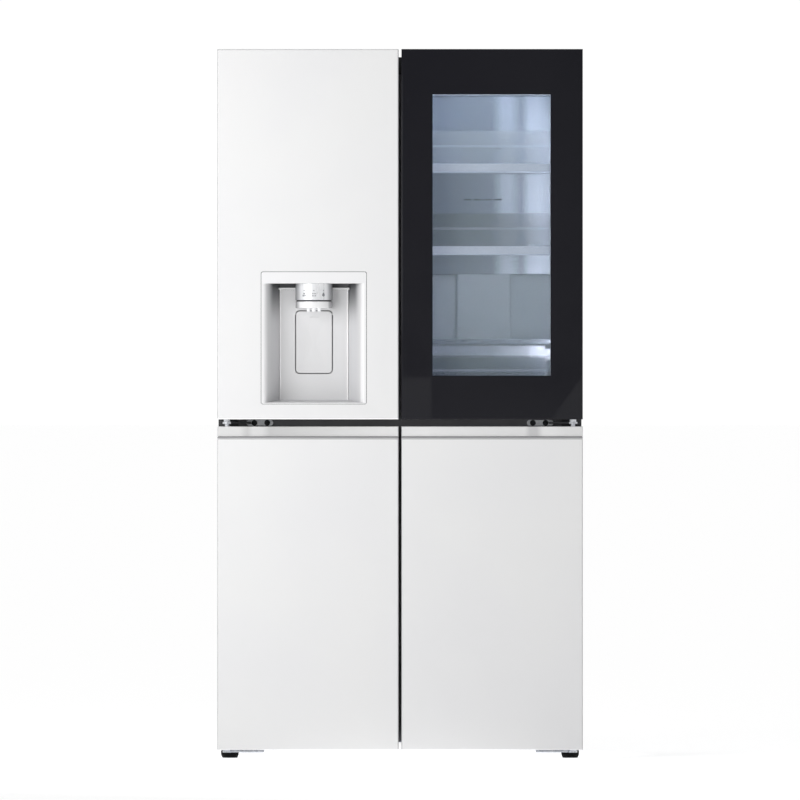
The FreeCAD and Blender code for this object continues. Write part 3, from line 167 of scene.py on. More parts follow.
# one row for each look: base is its colour, roughness and metallic share, and sockets holds further
# shader values; vary, rough and bump feed the functions above; band is an axis, its stops in metres
# with a colour or the name of one, and whether both sides of the middle share them
looks = {
    # sprayed and baked white, with the faint orange peel of sheet paint
    "doorPaint": {
        "base": ((228, 228, 228), 0.38), "sockets": {"Coat_Weight": 0.1, "Coat_Roughness": 0.25},
        "vary": ((228, 228, 228), (226, 226, 227), 3.0), "rough": (0.34, 0.42, 14.0),
        "bump": (900.0, 0.05, 0.0002), "detail": 2.0,
    },
    # pale sides; the front flange behind the doors is coloured dark as painted shade for the gaps between the doors
    "cabinetPaint": {
        "base": ((204, 205, 207), 0.5),
        "band": ("Y", [(-0.2790, (50, 50, 52)), (-0.2771, (50, 50, 52)), (-0.2767, (204, 205, 207)),
                       (-0.2700, (204, 205, 207))]),
        "rough": (0.44, 0.56, 20.0), "bump": (1400.0, 0.35, 0.0003), "detail": 3.0,
    },
    "blackGlass": {
        "base": ((24, 24, 29), 0.07), "sockets": {"IOR": 1.5, "Specular_IOR_Level": 0.22},
        "vary": ((22, 22, 28), (27, 27, 32), 1.6), "rough": (0.05, 0.09, 6.0),
    },
    # the clear middle of the window, lightly mirrored
    "tintedGlass": {
        "base": ((40, 44, 56), 0.03), "sockets": {"Alpha": 0.16, "Specular_IOR_Level": 0.3},
        "rough": (0.02, 0.05, 5.0),
    },
    "clearGlass": {"base": ((205, 226, 226), 0.04), "sockets": {"Alpha": 0.2}, "rough": (0.03, 0.07, 8.0)},
    "clearPlastic": {"base": ((228, 234, 246), 0.09), "sockets": {"Alpha": 0.13}, "rough": (0.07, 0.14, 12.0)},
    "frostedPlastic": {
        "base": ((218, 226, 238), 0.3), "sockets": {"Alpha": 0.55},
        "vary": ((218, 226, 238), (208, 218, 232), 4.0), "rough": (0.26, 0.36, 16.0),
    },
    "linerPlastic": {
        "base": ((232, 234, 242), 0.34), "vary": ((233, 235, 242), (227, 229, 238), 3.0),
        "rough": (0.33, 0.37, 9.0), "bump": (420.0, 0.06, 0.0003), "detail": 2.0,
    },
    # the door's moulded body; grey where its front edge shows in the seam under the pull, as painted shade for that
    # seam
    "coreLiner": {
        "base": ((232, 234, 242), 0.34),
        "band": ("Y", [(-0.3650, (150, 150, 152)), (-0.3600, (150, 150, 152)), (-0.3590, (232, 234, 242)),
                       (-0.3550, (232, 234, 242))]),
        "rough": (0.33, 0.37, 9.0), "bump": (420.0, 0.06, 0.0003), "detail": 2.0,
    },
    "whiteTrim": {
        "base": ((240, 241, 247), 0.28), "vary": ((240, 241, 247), (234, 235, 243), 6.0),
        "rough": (0.27, 0.3, 15.0),
    },
    # near white: a painted highlight on the left door's bottom roll, and on the niche's trims a white that stands in
    # for the highlights on the plate's edges and ledge
    "highlightWhite": {"base": ((252, 252, 252), 0.3), "vary": ((252, 252, 252), (249, 249, 250), 6.0)},
    # black-finished arm whose ends about the pins are bare plated steel
    "hingeSteel": {
        "base": ((60, 61, 64), 0.36, 0.5),
        "band": ("X", [(0.400, (44, 45, 48)), (0.423, (44, 45, 48)), (0.4235, (214, 216, 219)),
                       (0.442, (214, 216, 219)), (0.446, (214, 216, 219))], True),
        "rough": (0.3, 0.42, 120.0),
    },
    "platedSteel": {
        "base": ((248, 249, 250), 0.32, 0.05), "vary": ((250, 251, 252), (236, 238, 241), 130.0),
        "bump": (900.0, 0.1, 0.0002),
    },
    "greyTrim": {
        "base": ((176, 180, 190), 0.3, 0.55), "rough": (0.26, 0.36, 40.0, (1, 12, 12)),
        "bump": (260.0, 0.08, 0.0002, (1, 30, 30)),
    },
    # white rim and header in the door's plane; the walls behind them carry a painted highlight at their front edge,
    # grow darker with depth as painted shade, and take painted shade in their upper inner corners
    "nichePlastic": {
        "base": ((222, 222, 223), 0.36),
        "band": ("Y", [(-0.3660, (228, 228, 229)), (-0.3640, (232, 232, 233)), (-0.3600, (240, 240, 241)),
                       (-0.3480, (212, 212, 213)), (-0.3300, (205, 205, 207)), (-0.2700, (204, 204, 206))]),
        "rough": (0.34, 0.38, 3.0), "shade": (("Z", 1.080, 1.185), ("Y", -0.350, -0.318)),
    },
    "dispenserPlastic": {
        "base": ((221, 221, 222), 0.36), "vary": ((221, 221, 222), (218, 218, 219), 2.0),
        "bump": (900.0, 0.03, 0.0002), "detail": 2.0,
    },
    # painted shade: the door paint darkened where the sheet rolls over under the pull and on the doors' side rolls
    "bandPaint": {"base": ((190, 190, 191), 0.4), "vary": ((190, 190, 191), (186, 186, 187), 3.0)},
    # painted shade: the door paint darkened on the roll's upper faces, where it turns into the seam under the pull
    "seamGrey": {
        "base": ((138, 138, 140), 0.75), "sockets": {"Specular_IOR_Level": 0.1},
        "vary": ((138, 138, 140), (132, 132, 134), 20.0),
    },
    # brushed stainless sheet on the cabinet's back wall, with painted vertical reflection bands, dim and bright, across
    # it
    "steelPanel": {
        "base": ((176, 180, 190), 0.34, 0.9),
        "band": ("X", [(-0.40, "dim"), (-0.345, "bright"), (-0.325, "dim"), (-0.275, "bright"), (-0.255, "bright"),
                       (-0.20, "dim"), (0.20, "dim"), (0.235, "dim"), (0.262, "bright"), (0.28, "bright"),
                       (0.31, "dim"), (0.33, "bright"), (0.352, "bright"), (0.40, "dim")]),
        "named": {"dim": (158, 162, 176), "bright": (226, 230, 240)},
        "rough": (0.3, 0.4, 10.0, (160, 1, 1)),
    },
    # painted shade: darker towards the drum's two sides, where it turns away from the light
    "silverPlastic": {
        "base": ((226, 227, 229), 0.3, 0.3),
        "band": ("X", [(-0.2622, "dark"), (-0.2580, "grey"), (-0.2480, "pale"), (-0.1830, "pale"),
                       (-0.1730, "grey"), (-0.1688, "dark")]),
        "named": {"dark": (104, 105, 108), "grey": (182, 183, 186), "pale": (230, 231, 233)},
        "rough": (0.27, 0.33, 60.0, (1, 1, 0.1)),
    },
    # painted shade: the ring is darker towards its two ends, where the drum turns away from the light
    "ringPlastic": {
        "base": ((250, 250, 251), 0.22, 0.1),
        "band": ("X", [(-0.2620, "dark"), (-0.2500, "pale"), (-0.1810, "pale"), (-0.1690, "dark")]),
        "named": {"dark": (120, 121, 124), "pale": (238, 238, 239)}, "rough": (0.2, 0.26, 60.0),
    },
    # milky bands; their faint glow is painted light that stands in for the room's lamps shining on them
    "binTrim": {
        "base": ((240, 243, 255), 0.25), "glow": ((214, 222, 255), 0.3),
        "vary": ((240, 243, 255), (232, 236, 250), 6.0),
    },
    "seamShadow": {"base": ((58, 59, 63), 0.6), "vary": ((58, 59, 63), (48, 49, 52), 80.0)},
    "iconPrint": {"base": ((116, 118, 122), 0.5), "vary": ((116, 118, 122), (126, 128, 132), 200.0)},
    # satin anodised and brushed, with broad soft painted reflection bands, bright and dim, along its length
    "brushedAluminium": {
        "base": ((226, 227, 228), 0.36, 0.85),
        "band": ("X", [(-0.456, "left"), (-0.400, "left"), (-0.382, "leftDim"), (-0.368, "left"), (-0.345, "left"),
                       (-0.325, "leftDim"), (-0.05, "middle"), (0.06, "bright"), (0.25, "middle"),
                       (0.312, "middle"), (0.325, "dim"), (0.342, "dim"), (0.358, "bright"), (0.385, "bright"),
                       (0.42, "middle"), (0.456, "middle")]),
        "named": {"bright": (250, 250, 250), "middle": (244, 244, 244), "dim": (218, 218, 219),
                  "left": (226, 226, 226), "leftDim": (206, 206, 206)},
        "bump": (30.0, 0.03, 0.0002, (1, 260, 260)), "detail": 5.0,
    },
    "zincSteel": {
        "base": ((196, 199, 203), 0.3, 1.0), "vary": ((202, 204, 208), (176, 180, 186), 130.0),
        "rough": (0.22, 0.42, 160.0), "bump": (900.0, 0.1, 0.0002),
    },
    "darkSteel": {
        "base": ((48, 49, 53), 0.42, 0.6), "vary": ((48, 49, 53), (34, 35, 38), 120.0),
        "rough": (0.34, 0.5, 200.0), "bump": (1200.0, 0.15, 0.0002),
    },
    "framePaint": {
        "base": ((108, 107, 109), 0.45), "vary": ((110, 109, 111), (102, 101, 104), 12.0),
        "rough": (0.4, 0.52, 40.0), "bump": (1000.0, 0.12, 0.0002),
    },
    "galvanisedSheet": {
        "base": ((186, 189, 193), 0.42, 0.8),
        "vary": ((190, 193, 197), (181, 184, 189), 90.0, (1, 1, 1), "ShaderNodeTexVoronoi", 0.1, 0.7),
        "rough": (0.38, 0.48, 70.0),
    },
    "gasketRubber": {
        "base": ((62, 62, 66), 0.7), "vary": ((64, 64, 68), (54, 54, 58), 50.0),
        "rough": (0.62, 0.78, 60.0), "bump": (700.0, 0.12, 0.0003),
    },
    "coverPlastic": {
        "base": ((203, 205, 209), 0.55), "vary": ((204, 206, 210), (196, 198, 203), 20.0),
        "rough": (0.5, 0.62, 40.0), "bump": (1600.0, 0.3, 0.0003),
    },
    "blackPlastic": {
        "base": ((34, 35, 37), 0.5), "vary": ((36, 37, 39), (28, 29, 31), 30.0),
        "rough": (0.42, 0.6, 60.0), "bump": (1500.0, 0.25, 0.0003),
    },
    "footPlastic": {
        "base": ((8, 8, 9), 0.6), "sockets": {"Specular_IOR_Level": 0.15},
        "vary": ((8, 8, 9), (5, 5, 6), 90.0), "rough": (0.5, 0.68, 60.0),
    },
    "compressorPaint": {
        "base": ((22, 23, 25), 0.3), "sockets": {"Coat_Weight": 0.3},
        "vary": ((22, 23, 25), (30, 31, 33), 25.0), "bump": (220.0, 0.12, 0.0004),
    },
    "finAluminium": {
        "base": ((198, 202, 206), 0.38, 0.9), "vary": ((202, 206, 210), (180, 185, 190), 40.0),
        "rough": (0.32, 0.46, 80.0),
    },
    "insulatingFoam": {
        "base": ((226, 206, 150), 0.9), "vary": ((230, 211, 158), (210, 188, 130), 60.0),
        "bump": (260.0, 0.5, 0.001, (1, 1, 1), "ShaderNodeTexVoronoi"),
    },
    "lampLens": {"base": ((244, 246, 255), 0.35), "glow": ((226, 230, 255), 4.0), "rough": (0.3, 0.45, 90.0)},
}
# the colour of the painted shade in the niche's upper inner corners
nicheShade = (96, 97, 99)


def shadeCorners(made, spans):
    # painted shade: darkens the niche's walls towards their upper inner corners
    tree = made.node_tree
    colour = tree.nodes["Principled BSDF"].inputs["Base Color"].links[0].from_socket
    axes = addAxes(tree)
    both = tree.nodes.new("ShaderNodeMath")
    both.operation = "MULTIPLY"
    for at, (axis, start, end) in enumerate(spans):
        tree.links.new(addSpread(tree, axes[axis], start, end, smooth=True), both.inputs[at])
    lit, shaded = addColourMix(tree, both.outputs[0])
    tree.links.new(colour, lit)
    shaded.default_value = srgb(*nicheShade)


def makeLook(name, look):
    colour, *values = look["base"]
    sockets = dict(look.get("sockets", {}))
    if "glow" in look:
        glow, strength = look["glow"]
        sockets |= {"Emission_Color": srgb(*glow), "Emission_Strength": strength}
    made = newMaterial(name, srgb(*colour), *values, **sockets)
    if "band" in look:
        axis, stops, *mirrored = look["band"]
        named = look.get("named", {})
        bandColour(made, axis, [(at, srgb(*named.get(value, value))) for at, value in stops], *mirrored)
    if "vary" in look:
        first, second, *values = look["vary"]
        varyColour(made, srgb(*first), srgb(*second), *values)
    if "rough" in look:
        varyRoughness(made, *look["rough"])
    if "bump" in look:
        detail = {"Detail": look["detail"]} if "detail" in look else {}
        addBump(made, *look["bump"], **detail)
    if "shade" in look:
        shadeCorners(made, look["shade"])
    return made


finish = {name: makeLook(name, look) for name, look in looks.items()}
print("materials made:", len(finish))


# Mesh helpers

def newPiece(name, bm, body, materials, replaced=(), sharp=35, flip=False, weighted=True):
    bmesh.ops.remove_doubles(bm, verts=bm.verts, dist=0.5e-6)
    bmesh.ops.recalc_face_normals(bm, faces=bm.faces)
    if flip:
        bmesh.ops.reverse_faces(bm, faces=bm.faces)
    mesh = bpy.data.meshes.new(name)
    bm.to_mesh(mesh)
    bm.free()
    return placePiece(name, mesh, body, materials, replaced, sharp, weighted)


def placePiece(name, mesh, body, materials, replaced=(), sharp=35, weighted=True):
    if not mesh.materials:
        for made in materials:
            mesh.materials.append(finish[made])
    for polygon in mesh.polygons:
        polygon.use_smooth = True
    mesh.set_sharp_from_angle(angle=math.radians(sharp))
    piece = bpy.data.objects.new(name, mesh)
    scene.collection.objects.link(piece)
    if weighted:
        keep = piece.modifiers.new("faceNormals", "WEIGHTED_NORMAL")
        keep.keep_sharp = True
    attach(piece, body)
    if replaced:
        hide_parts(*replaced)
    return piece


def thicken(piece, wall, offset=-1.0):
    # gives an open shell its wall, before the normals are weighted
    solid = piece.modifiers.new("wall", "SOLIDIFY")
    solid.thickness = wall
    solid.offset = offset
    solid.use_even_offset = True
    if "faceNormals" in piece.modifiers:
        piece.modifiers.move(len(piece.modifiers) - 1, 0)


def addBlock(bm, low, high, radius=0.0, segments=3, along=None, index=0):
    low, high = Vector(low), Vector(high)
    made = bmesh.ops.create_cube(bm, size=1.0, matrix=Matrix.LocRotScale((low + high) / 2, None, high - low))
    verts = made["verts"]
    for face in {face for vert in verts for face in vert.link_faces}:
        face.material_index = index
    if radius:
        edges = {edge for vert in verts for edge in vert.link_edges}
        if along is not None:
            edges = {e for e in edges if abs((e.verts[0].co - e.verts[1].co).normalized()[along]) > 0.99}
        bmesh.ops.bevel(
            bm, geom=list(edges), offset=radius, segments=segments, profile=0.5, affect="EDGES",
            clamp_overlap=True, material=-1,
        )


def addLoft(bm, rings, indices=None, capStart=True, capEnd=True):
    # joins rings of points, each with the same count, into a skin
    loops = [[bm.verts.new(point) for point in ring] for ring in rings]
    count = len(rings[0])
    for step in range(len(rings) - 1):
        for at in range(count):
            after = (at + 1) % count
            corners = (loops[step][at], loops[step][after], loops[step + 1][after], loops[step + 1][at])
            face = bm.faces.new(corners)
            face.material_index = indices[step] if indices else 0
    if capStart:
        bm.faces.new(list(reversed(loops[0]))).material_index = indices[0] if indices else 0
    if capEnd:
        bm.faces.new(loops[-1]).material_index = indices[-1] if indices else 0
    return loops


def roundRect(a0, a1, b0, b1, radius, steps=5):
    # corner points of a rounded rectangle, in order
    radius = max(min(radius, (a1 - a0) / 2.01, (b1 - b0) / 2.01), 1e-5)
    points = []
    corners = ((a1 - radius, b0 + radius, -90), (a1 - radius, b1 - radius, 0),
               (a0 + radius, b1 - radius, 90), (a0 + radius, b0 + radius, 180))
    for a, b, start in corners:
        for step in range(steps + 1):
            turn = math.radians(start + 90 * step / steps)
            points.append((a + radius * math.cos(turn), b + radius * math.sin(turn)))
    return points


def onAxis(axis, a, b, along):
    return ((along, a, b), (a, along, b), (a, b, along))[axis]


def addPrism(bm, outline, start, end, axis, index=0):
    rings = [[onAxis(axis, a, b, along) for a, b in outline] for along in (start, end)]
    addLoft(bm, rings, [index])


def addLathe(bm, centre, profile, axis=2, steps=40, index=0):
    # turns a profile of (radius, height) about an axis through the centre
    rings = []
    for radius, height in profile:
        ring = []
        for step in range(steps):
            turn = 2 * math.pi * step / steps
            a, b = radius * math.cos(turn), radius * math.sin(turn)
            ring.append(Vector(centre) + Vector(onAxis(axis, a, b, height)))
        rings.append(ring)
    addLoft(bm, rings, [index] * (len(rings) - 1))


# Node trees that give carried frame nodes merged points and smooth curves

def smoothTree():
    tree = bpy.data.node_groups.new("smoothCurves", "GeometryNodeTree")
    tree.interface.new_socket("Geometry", in_out="INPUT", socket_type="NodeSocketGeometry")
    angle = tree.interface.new_socket("Sharp Angle", in_out="INPUT", socket_type="NodeSocketFloat")
    angle.default_value = math.radians(30)
    tree.interface.new_socket("Geometry", in_out="OUTPUT", socket_type="NodeSocketGeometry")
    nodes, links = tree.nodes, tree.links
    start = nodes.new("NodeGroupInput")
    merge = nodes.new("GeometryNodeMergeByDistance")
    merge.inputs["Distance"].default_value = 2e-6
    allSmooth = nodes.new("GeometryNodeSetShadeSmooth")
    edgeAngle = nodes.new("GeometryNodeInputMeshEdgeAngle")
    isFlat = nodes.new("FunctionNodeCompare")
    isFlat.operation = "LESS_THAN"
    edges = nodes.new("GeometryNodeSetShadeSmooth")
    edges.domain = "EDGE"
    end = nodes.new("NodeGroupOutput")
    links.new(start.outputs["Geometry"], merge.inputs["Geometry"])
    links.new(merge.outputs["Geometry"], allSmooth.inputs["Geometry"])
    links.new(allSmooth.outputs["Geometry"], edges.inputs["Geometry"])
    links.new(edgeAngle.outputs["Unsigned Angle"], isFlat.inputs["A"])
    links.new(start.outputs["Sharp Angle"], isFlat.inputs["B"])
    links.new(isFlat.outputs["Result"], edges.inputs["Shade Smooth"])
    links.new(edges.outputs["Geometry"], end.inputs["Geometry"])
    return tree


carriedLooks = {
    "cabinet_wrapper": "cabinetPaint",
    "front_frame": "framePaint",
    "foam_insulation": "insulatingFoam",
    "rear_panel": "galvanisedSheet",
    "base_pan": "galvanisedSheet",
    "top_hinges": "zincSteel",
    "hinge_covers": "coverPlastic",
    "bottom_hinges": "zincSteel",
    "hinge_pins": "platedSteel",
    "drawer_guides": "whiteTrim",
    "air_ducts": "whiteTrim",
    "interior_lamps": "lampLens",
    "compressor": "compressorPaint",
    "fan_bracket": "blackPlastic",
    "condenser_fan": "whiteTrim",
    "evaporation_pan": "blackPlastic",
    "machine_room_cover": "galvanisedSheet",
    "mains_gland": "blackPlastic",
    "left_door_core": "linerPlastic",
    "left_door_caps": "coverPlastic",
    "dispenser_housing": "nichePlastic",
    "ice_maker": "greyTrim",
    "ice_bin": "clearPlastic",
    "window_door_frame": "linerPlastic",
    "window_inner_glass": "clearGlass",
    "lower_left_core": "coreLiner",
    "lower_right_core": "coreLiner",
    "rear_roller_left": "blackPlastic",
    "rear_roller_right": "blackPlastic",
}


def dressCarriedNodes():
    tree = smoothTree()
    for node, look in carriedLooks.items():
        carried = cadNodes[node]
        carried.data.materials.clear()
        carried.data.materials.append(finish[look])
        carried.modifiers.new("smoothCurves", "NODES").node_group = tree


dressCarriedNodes()
print("carried nodes dressed:", len(carriedLooks))


# Door fronts

skinSizes = {
    "edge": 3.0 * mm, "depth": 4.5 * mm, "lip": 9.0 * mm, "wall": 1.1 * mm, "corner": 1.5 * mm, "sideRoll": 2.4 * mm,
    "topRoll": 6.4 * mm, "holeGap": 1.2 * mm, "steps": 5,
}
nicheSizes = {"half": 131.25 * mm, "corner": 5 * mm, "foot": 9.5 * mm, "header": 28.5 * mm}
seamSizes = {"inner": -0.2 * mm, "outer": 1.6 * mm, "behind": 0.9 * mm}
pocketSizes = {"across": 20 * mm, "behind": 9 * mm, "down": 25 * mm, "past": 10 * mm}


def addSkinFront(bm, x0, x1, z0, z1, front, rear, edges, hole=None):
    # rings from the open back to the front face; edges are the insets left, right, below and above
    rings = []
    places = [(rear, 0.0), (front + skinSizes["lip"], 0.0)]
    for step in range(skinSizes["steps"] + 1):
        turn = math.radians(90 * step / skinSizes["steps"])
        places.append((front + skinSizes["depth"] * (1 - math.sin(turn)), 1 - math.cos(turn)))
    for y, share in places:
        left, right, below, above = (inset * share for inset in edges)
        outline = roundRect(x0 + left, x1 - right, z0 + below, z1 - above, skinSizes["corner"], 3)
        rings.append([(x, y, z) for x, z in outline])
    loops = addLoft(bm, rings, capStart=False, capEnd=hole is None)
    if hole:
        holeLoop = [bm.verts.new((x, front, z)) for x, z in hole]
        edgesIn = [bm.edges.new((holeLoop[at - 1], holeLoop[at])) for at in range(len(holeLoop))]
        outer = loops[-1]
        edgesOut = [bm.edges.get((outer[at - 1], outer[at])) for at in range(len(outer))]
        bmesh.ops.triangle_fill(bm, edges=edgesIn + edgesOut, use_beauty=True)
    # the sheet has sides but no top or bottom behind its rolled lip
    doomed = []
    for face in bm.faces:
        middle = face.calc_center_median()
        upright = abs(face.normal.z) > 0.5 or abs(middle.z - z0) < 1e-4 or abs(middle.z - z1) < 1e-4
        if middle.y > front + skinSizes["lip"] + 1e-4 and upright:
            doomed.append(face)
    bmesh.ops.delete(bm, geom=doomed, context="FACES")


def cutAway(bm, keepOut):
    # splits the faces at a box's sides and removes those inside it
    low, high = keepOut
    for axis in range(3):
        for value in (low[axis], high[axis]):
            normal = Vector((0, 0, 0))
            normal[axis] = 1
            geometry = bm.verts[:] + bm.edges[:] + bm.faces[:]
            bmesh.ops.bisect_plane(bm, geom=geometry, plane_co=normal * value, plane_no=normal, dist=1e-7)
    inside = []
    for face in bm.faces:
        middle = face.calc_center_median()
        if all(low[axis] < middle[axis] < high[axis] for axis in range(3)):
            inside.append(face)
    bmesh.ops.delete(bm, geom=inside, context="FACES")


def dispenserHole(grow):
    low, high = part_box("dispenser_housing")
    middle = (low.x + high.x) / 2
    half = nicheSizes["half"] + grow
    return roundRect(middle - half, middle + half, low.z - grow, high.z + grow, nicheSizes["corner"], 5)


def onSideRoll(face, low, high):
    middle = face.calc_center_median()
    beside = min(middle.x - low.x, high.x - middle.x) < skinSizes["sideRoll"]
    return beside and middle.y < low.y + skinSizes["depth"]


def makeLeftSkin():
    low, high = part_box("left_door_skin")
    edge = skinSizes["edge"]
    bm = bmesh.new()
    hole = dispenserHole(skinSizes["holeGap"])
    addSkinFront(bm, low.x, high.x, low.z, high.z, low.y, high.y, (edge,) * 4, hole)
    # the bottom roll takes a painted highlight, and the side rolls take painted shade
    for face in bm.faces:
        if face.calc_center_median().z < low.z + edge:
            face.material_index = 1
        elif onSideRoll(face, low, high):
            face.material_index = 3
    # a dark strip behind the seam about the niche: painted shadow for the gap
    inner, outer = dispenserHole(seamSizes["inner"]), dispenserHole(seamSizes["outer"])
    loops = [[bm.verts.new((x, low.y + seamSizes["behind"], z)) for x, z in loop] for loop in (inner, outer)]
    for at in range(len(inner)):
        bm.faces.new((loops[0][at - 1], loops[0][at], loops[1][at], loops[1][at - 1])).material_index = 2
    # the corner that the top hinge takes up
    past = pocketSizes["past"]
    cutAway(bm, (
        (low.x - past, low.y + pocketSizes["behind"], high.z - pocketSizes["down"]),
        (low.x + pocketSizes["across"], high.y + past, high.z + past),
    ))
    piece = newPiece(
        "doorSkinLeft", bm, "left_door", ["doorPaint", "highlightWhite", "seamShadow", "bandPaint"],
        ["left_door_skin"],
    )
    thicken(piece, skinSizes["wall"])


def makeLowerSkin(label):
    low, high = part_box(f"lower_{label}_skin")
    pullLow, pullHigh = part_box(f"lower_{label}_pull")
    edge = skinSizes["edge"]
    bm = bmesh.new()
    top = pullLow.z - 0.5 * mm
    addSkinFront(bm, low.x, high.x, low.z, top, low.y, high.y, (edge, edge, edge, skinSizes["topRoll"]))
    # the top roll under the pull takes painted shade, darkest in its upper part, and the side rolls take painted shade
    # too
    for face in bm.faces:
        middle = face.calc_center_median()
        if middle.z > top - skinSizes["topRoll"] + 0.1 * mm and middle.y < low.y + skinSizes["depth"]:
            face.material_index = 3 if middle.z > top - 2.0 * mm else 1
        elif onSideRoll(face, low, high):
            face.material_index = 1
    wall = skinSizes["wall"]
    for x in (low.x, high.x - wall):
        addBlock(bm, (x, pullHigh.y + 0.2 * mm, pullLow.z), (x + wall, high.y, high.z))
    # a dark block behind the seam under the pull: painted shade for the gap
    addBlock(
        bm, (low.x + 2 * mm, low.y + 2.2 * mm, top - 4 * mm),
        (high.x - 2 * mm, low.y + 3 * mm, pullLow.z + 1 * mm), index=2,
    )
    body = f"lower_{label}_door"
    piece = newPiece(
        f"doorSkinLower_{label}", bm, body, ["doorPaint", "bandPaint", "framePaint", "seamGrey"],
        [f"lower_{label}_skin"],
    )
    thicken(piece, wall)


pullSizes = {
    "plate": 4.0 * mm, "lip": 9.0 * mm, "round": 1.6 * mm, "tip": 2.6 * mm, "shoulder": 3.2 * mm, "foot": 4 * mm,
}


def makePull(label):
    low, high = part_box(f"lower_{label}_pull")
    y0, z1 = low.y, high.z
    r = pullSizes["round"]
    outline = [(y0, low.z)]
    for step in range(6):
        turn = math.radians(180 - 18 * step)
        outline.append((y0 + r + r * math.cos(turn), z1 - r + r * math.sin(turn)))
    lipY, plateY, foot = y0 + pullSizes["lip"], y0 + pullSizes["plate"], low.z + pullSizes["foot"]
    outline += [
        (lipY, z1), (lipY, z1 - pullSizes["tip"]), (plateY, z1 - pullSizes["shoulder"]), (plateY, foot),
        (high.y, foot), (high.y, low.z),
    ]
    bm = bmesh.new()
    addPrism(bm, outline, low.x, high.x, 0)
    newPiece(
        f"doorPull_{label}", bm, f"lower_{label}_door", ["brushedAluminium"],
        [f"lower_{label}_pull"], 25,
    )


windowSizes = {"edge": 2.2 * mm, "overlap": 9.7 * mm, "steps": 4}


def makeWindowGlass():
    # one sheet: black all round, clear in the middle
    low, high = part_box("window_glass")
    paneLow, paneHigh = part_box("window_inner_glass")
    overlap = windowSizes["overlap"]
    x0, x1 = paneLow.x + overlap, paneHigh.x - overlap
    z0, z1 = paneLow.z + overlap, paneHigh.z - overlap
    edge = windowSizes["edge"]
    bm = bmesh.new()
    columns = [low.x + edge, x0, x1, high.x - edge]
    rows = [low.z + edge, z0, z1, high.z - edge]
    for column in range(3):
        for row in range(3):
            corners = [
                (columns[column], low.y, rows[row]), (columns[column + 1], low.y, rows[row]),
                (columns[column + 1], low.y, rows[row + 1]), (columns[column], low.y, rows[row + 1]),
            ]
            for y in (low.y, high.y):
                face = bm.faces.new([bm.verts.new((x, y, z)) for x, _, z in corners])
                face.material_index = 1 if column == row == 1 else 0
    # the rounded edge, then the back: each ring's depth and how far in it stands
    places = []
    for step in range(windowSizes["steps"] + 1):
        turn = math.radians(90 * step / windowSizes["steps"])
        places.append((low.y + edge * (1 - math.cos(turn)), edge * (1 - math.sin(turn))))
    rings = []
    for y, inset in places + [(high.y, 0.0), (high.y, edge)]:
        x0, x1, z0, z1 = low.x + inset, high.x - inset, low.z + inset, high.z - inset
        rings.append([(x0, y, z0), (x1, y, z0), (x1, y, z1), (x0, y, z1)])
    addLoft(bm, rings, capStart=False, capEnd=False)
    newPiece(
        "windowGlass", bm, "window_door", ["blackGlass", "tintedGlass"], ["window_glass"], 60,
    )


makeLeftSkin()
for label in ("left", "right"):
    makeLowerSkin(label)
    makePull(label)
makeWindowGlass()
print("door fronts made")


# Dispenser

headSizes = {
    "radius": 46.5 * mm, "display": 41.5 * mm, "seam": 3.5 * mm, "seamIn": 3 * mm, "ringIn": 0.5 * mm,
    "round": 1.2 * mm,
}
iconSizes = {"lift": 0.12 * mm, "down": 27 * mm, "offset": 25.5 * mm, "square": 3.8 * mm}


def addDrum(bm, centreX, axisY, backY, radius, z0, z1, edge, index):
    # half-round front with straight sides back to the wall, edges rounded above and below
    rings = []
    profile = [(radius - edge, z0), (radius - edge * 0.3, z0 + edge * 0.3), (radius, z0 + edge),
               (radius, z1 - edge), (radius - edge * 0.3, z1 - edge * 0.3), (radius - edge, z1)]
    for r, z in profile:
        ring = [(centreX + r, backY, z)]
        for step in range(33):
            turn = math.radians(-180 * step / 32)
            ring.append((centreX + r * math.cos(turn), axisY + r * math.sin(turn), z))
        ring.append((centreX - r, backY, z))
        rings.append(ring)
    addLoft(bm, rings, [index] * 5)


def makeHead():
    low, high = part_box("dispenser_head")
    x = (low.x + high.x) / 2
    r = headSizes["radius"]
    axisY = low.y + r
    seamTop = high.z - headSizes["display"]
    seamLow = seamTop - headSizes["seam"]
    bm = bmesh.new()
    addDrum(bm, x, axisY, high.y, r, seamTop, high.z, headSizes["round"], 0)
    addDrum(bm, x, axisY, high.y, r - headSizes["seamIn"], seamLow, seamTop, 0.1 * mm, 1)
    addDrum(bm, x, axisY, high.y, r - headSizes["ringIn"], low.z, seamLow, headSizes["round"], 2)
    newPiece(
        "spoutHead", bm, "left_door", ["silverPlastic", "seamShadow", "ringPlastic"],
        ["dispenser_head"], 40,
    )
    return x, axisY, high.z


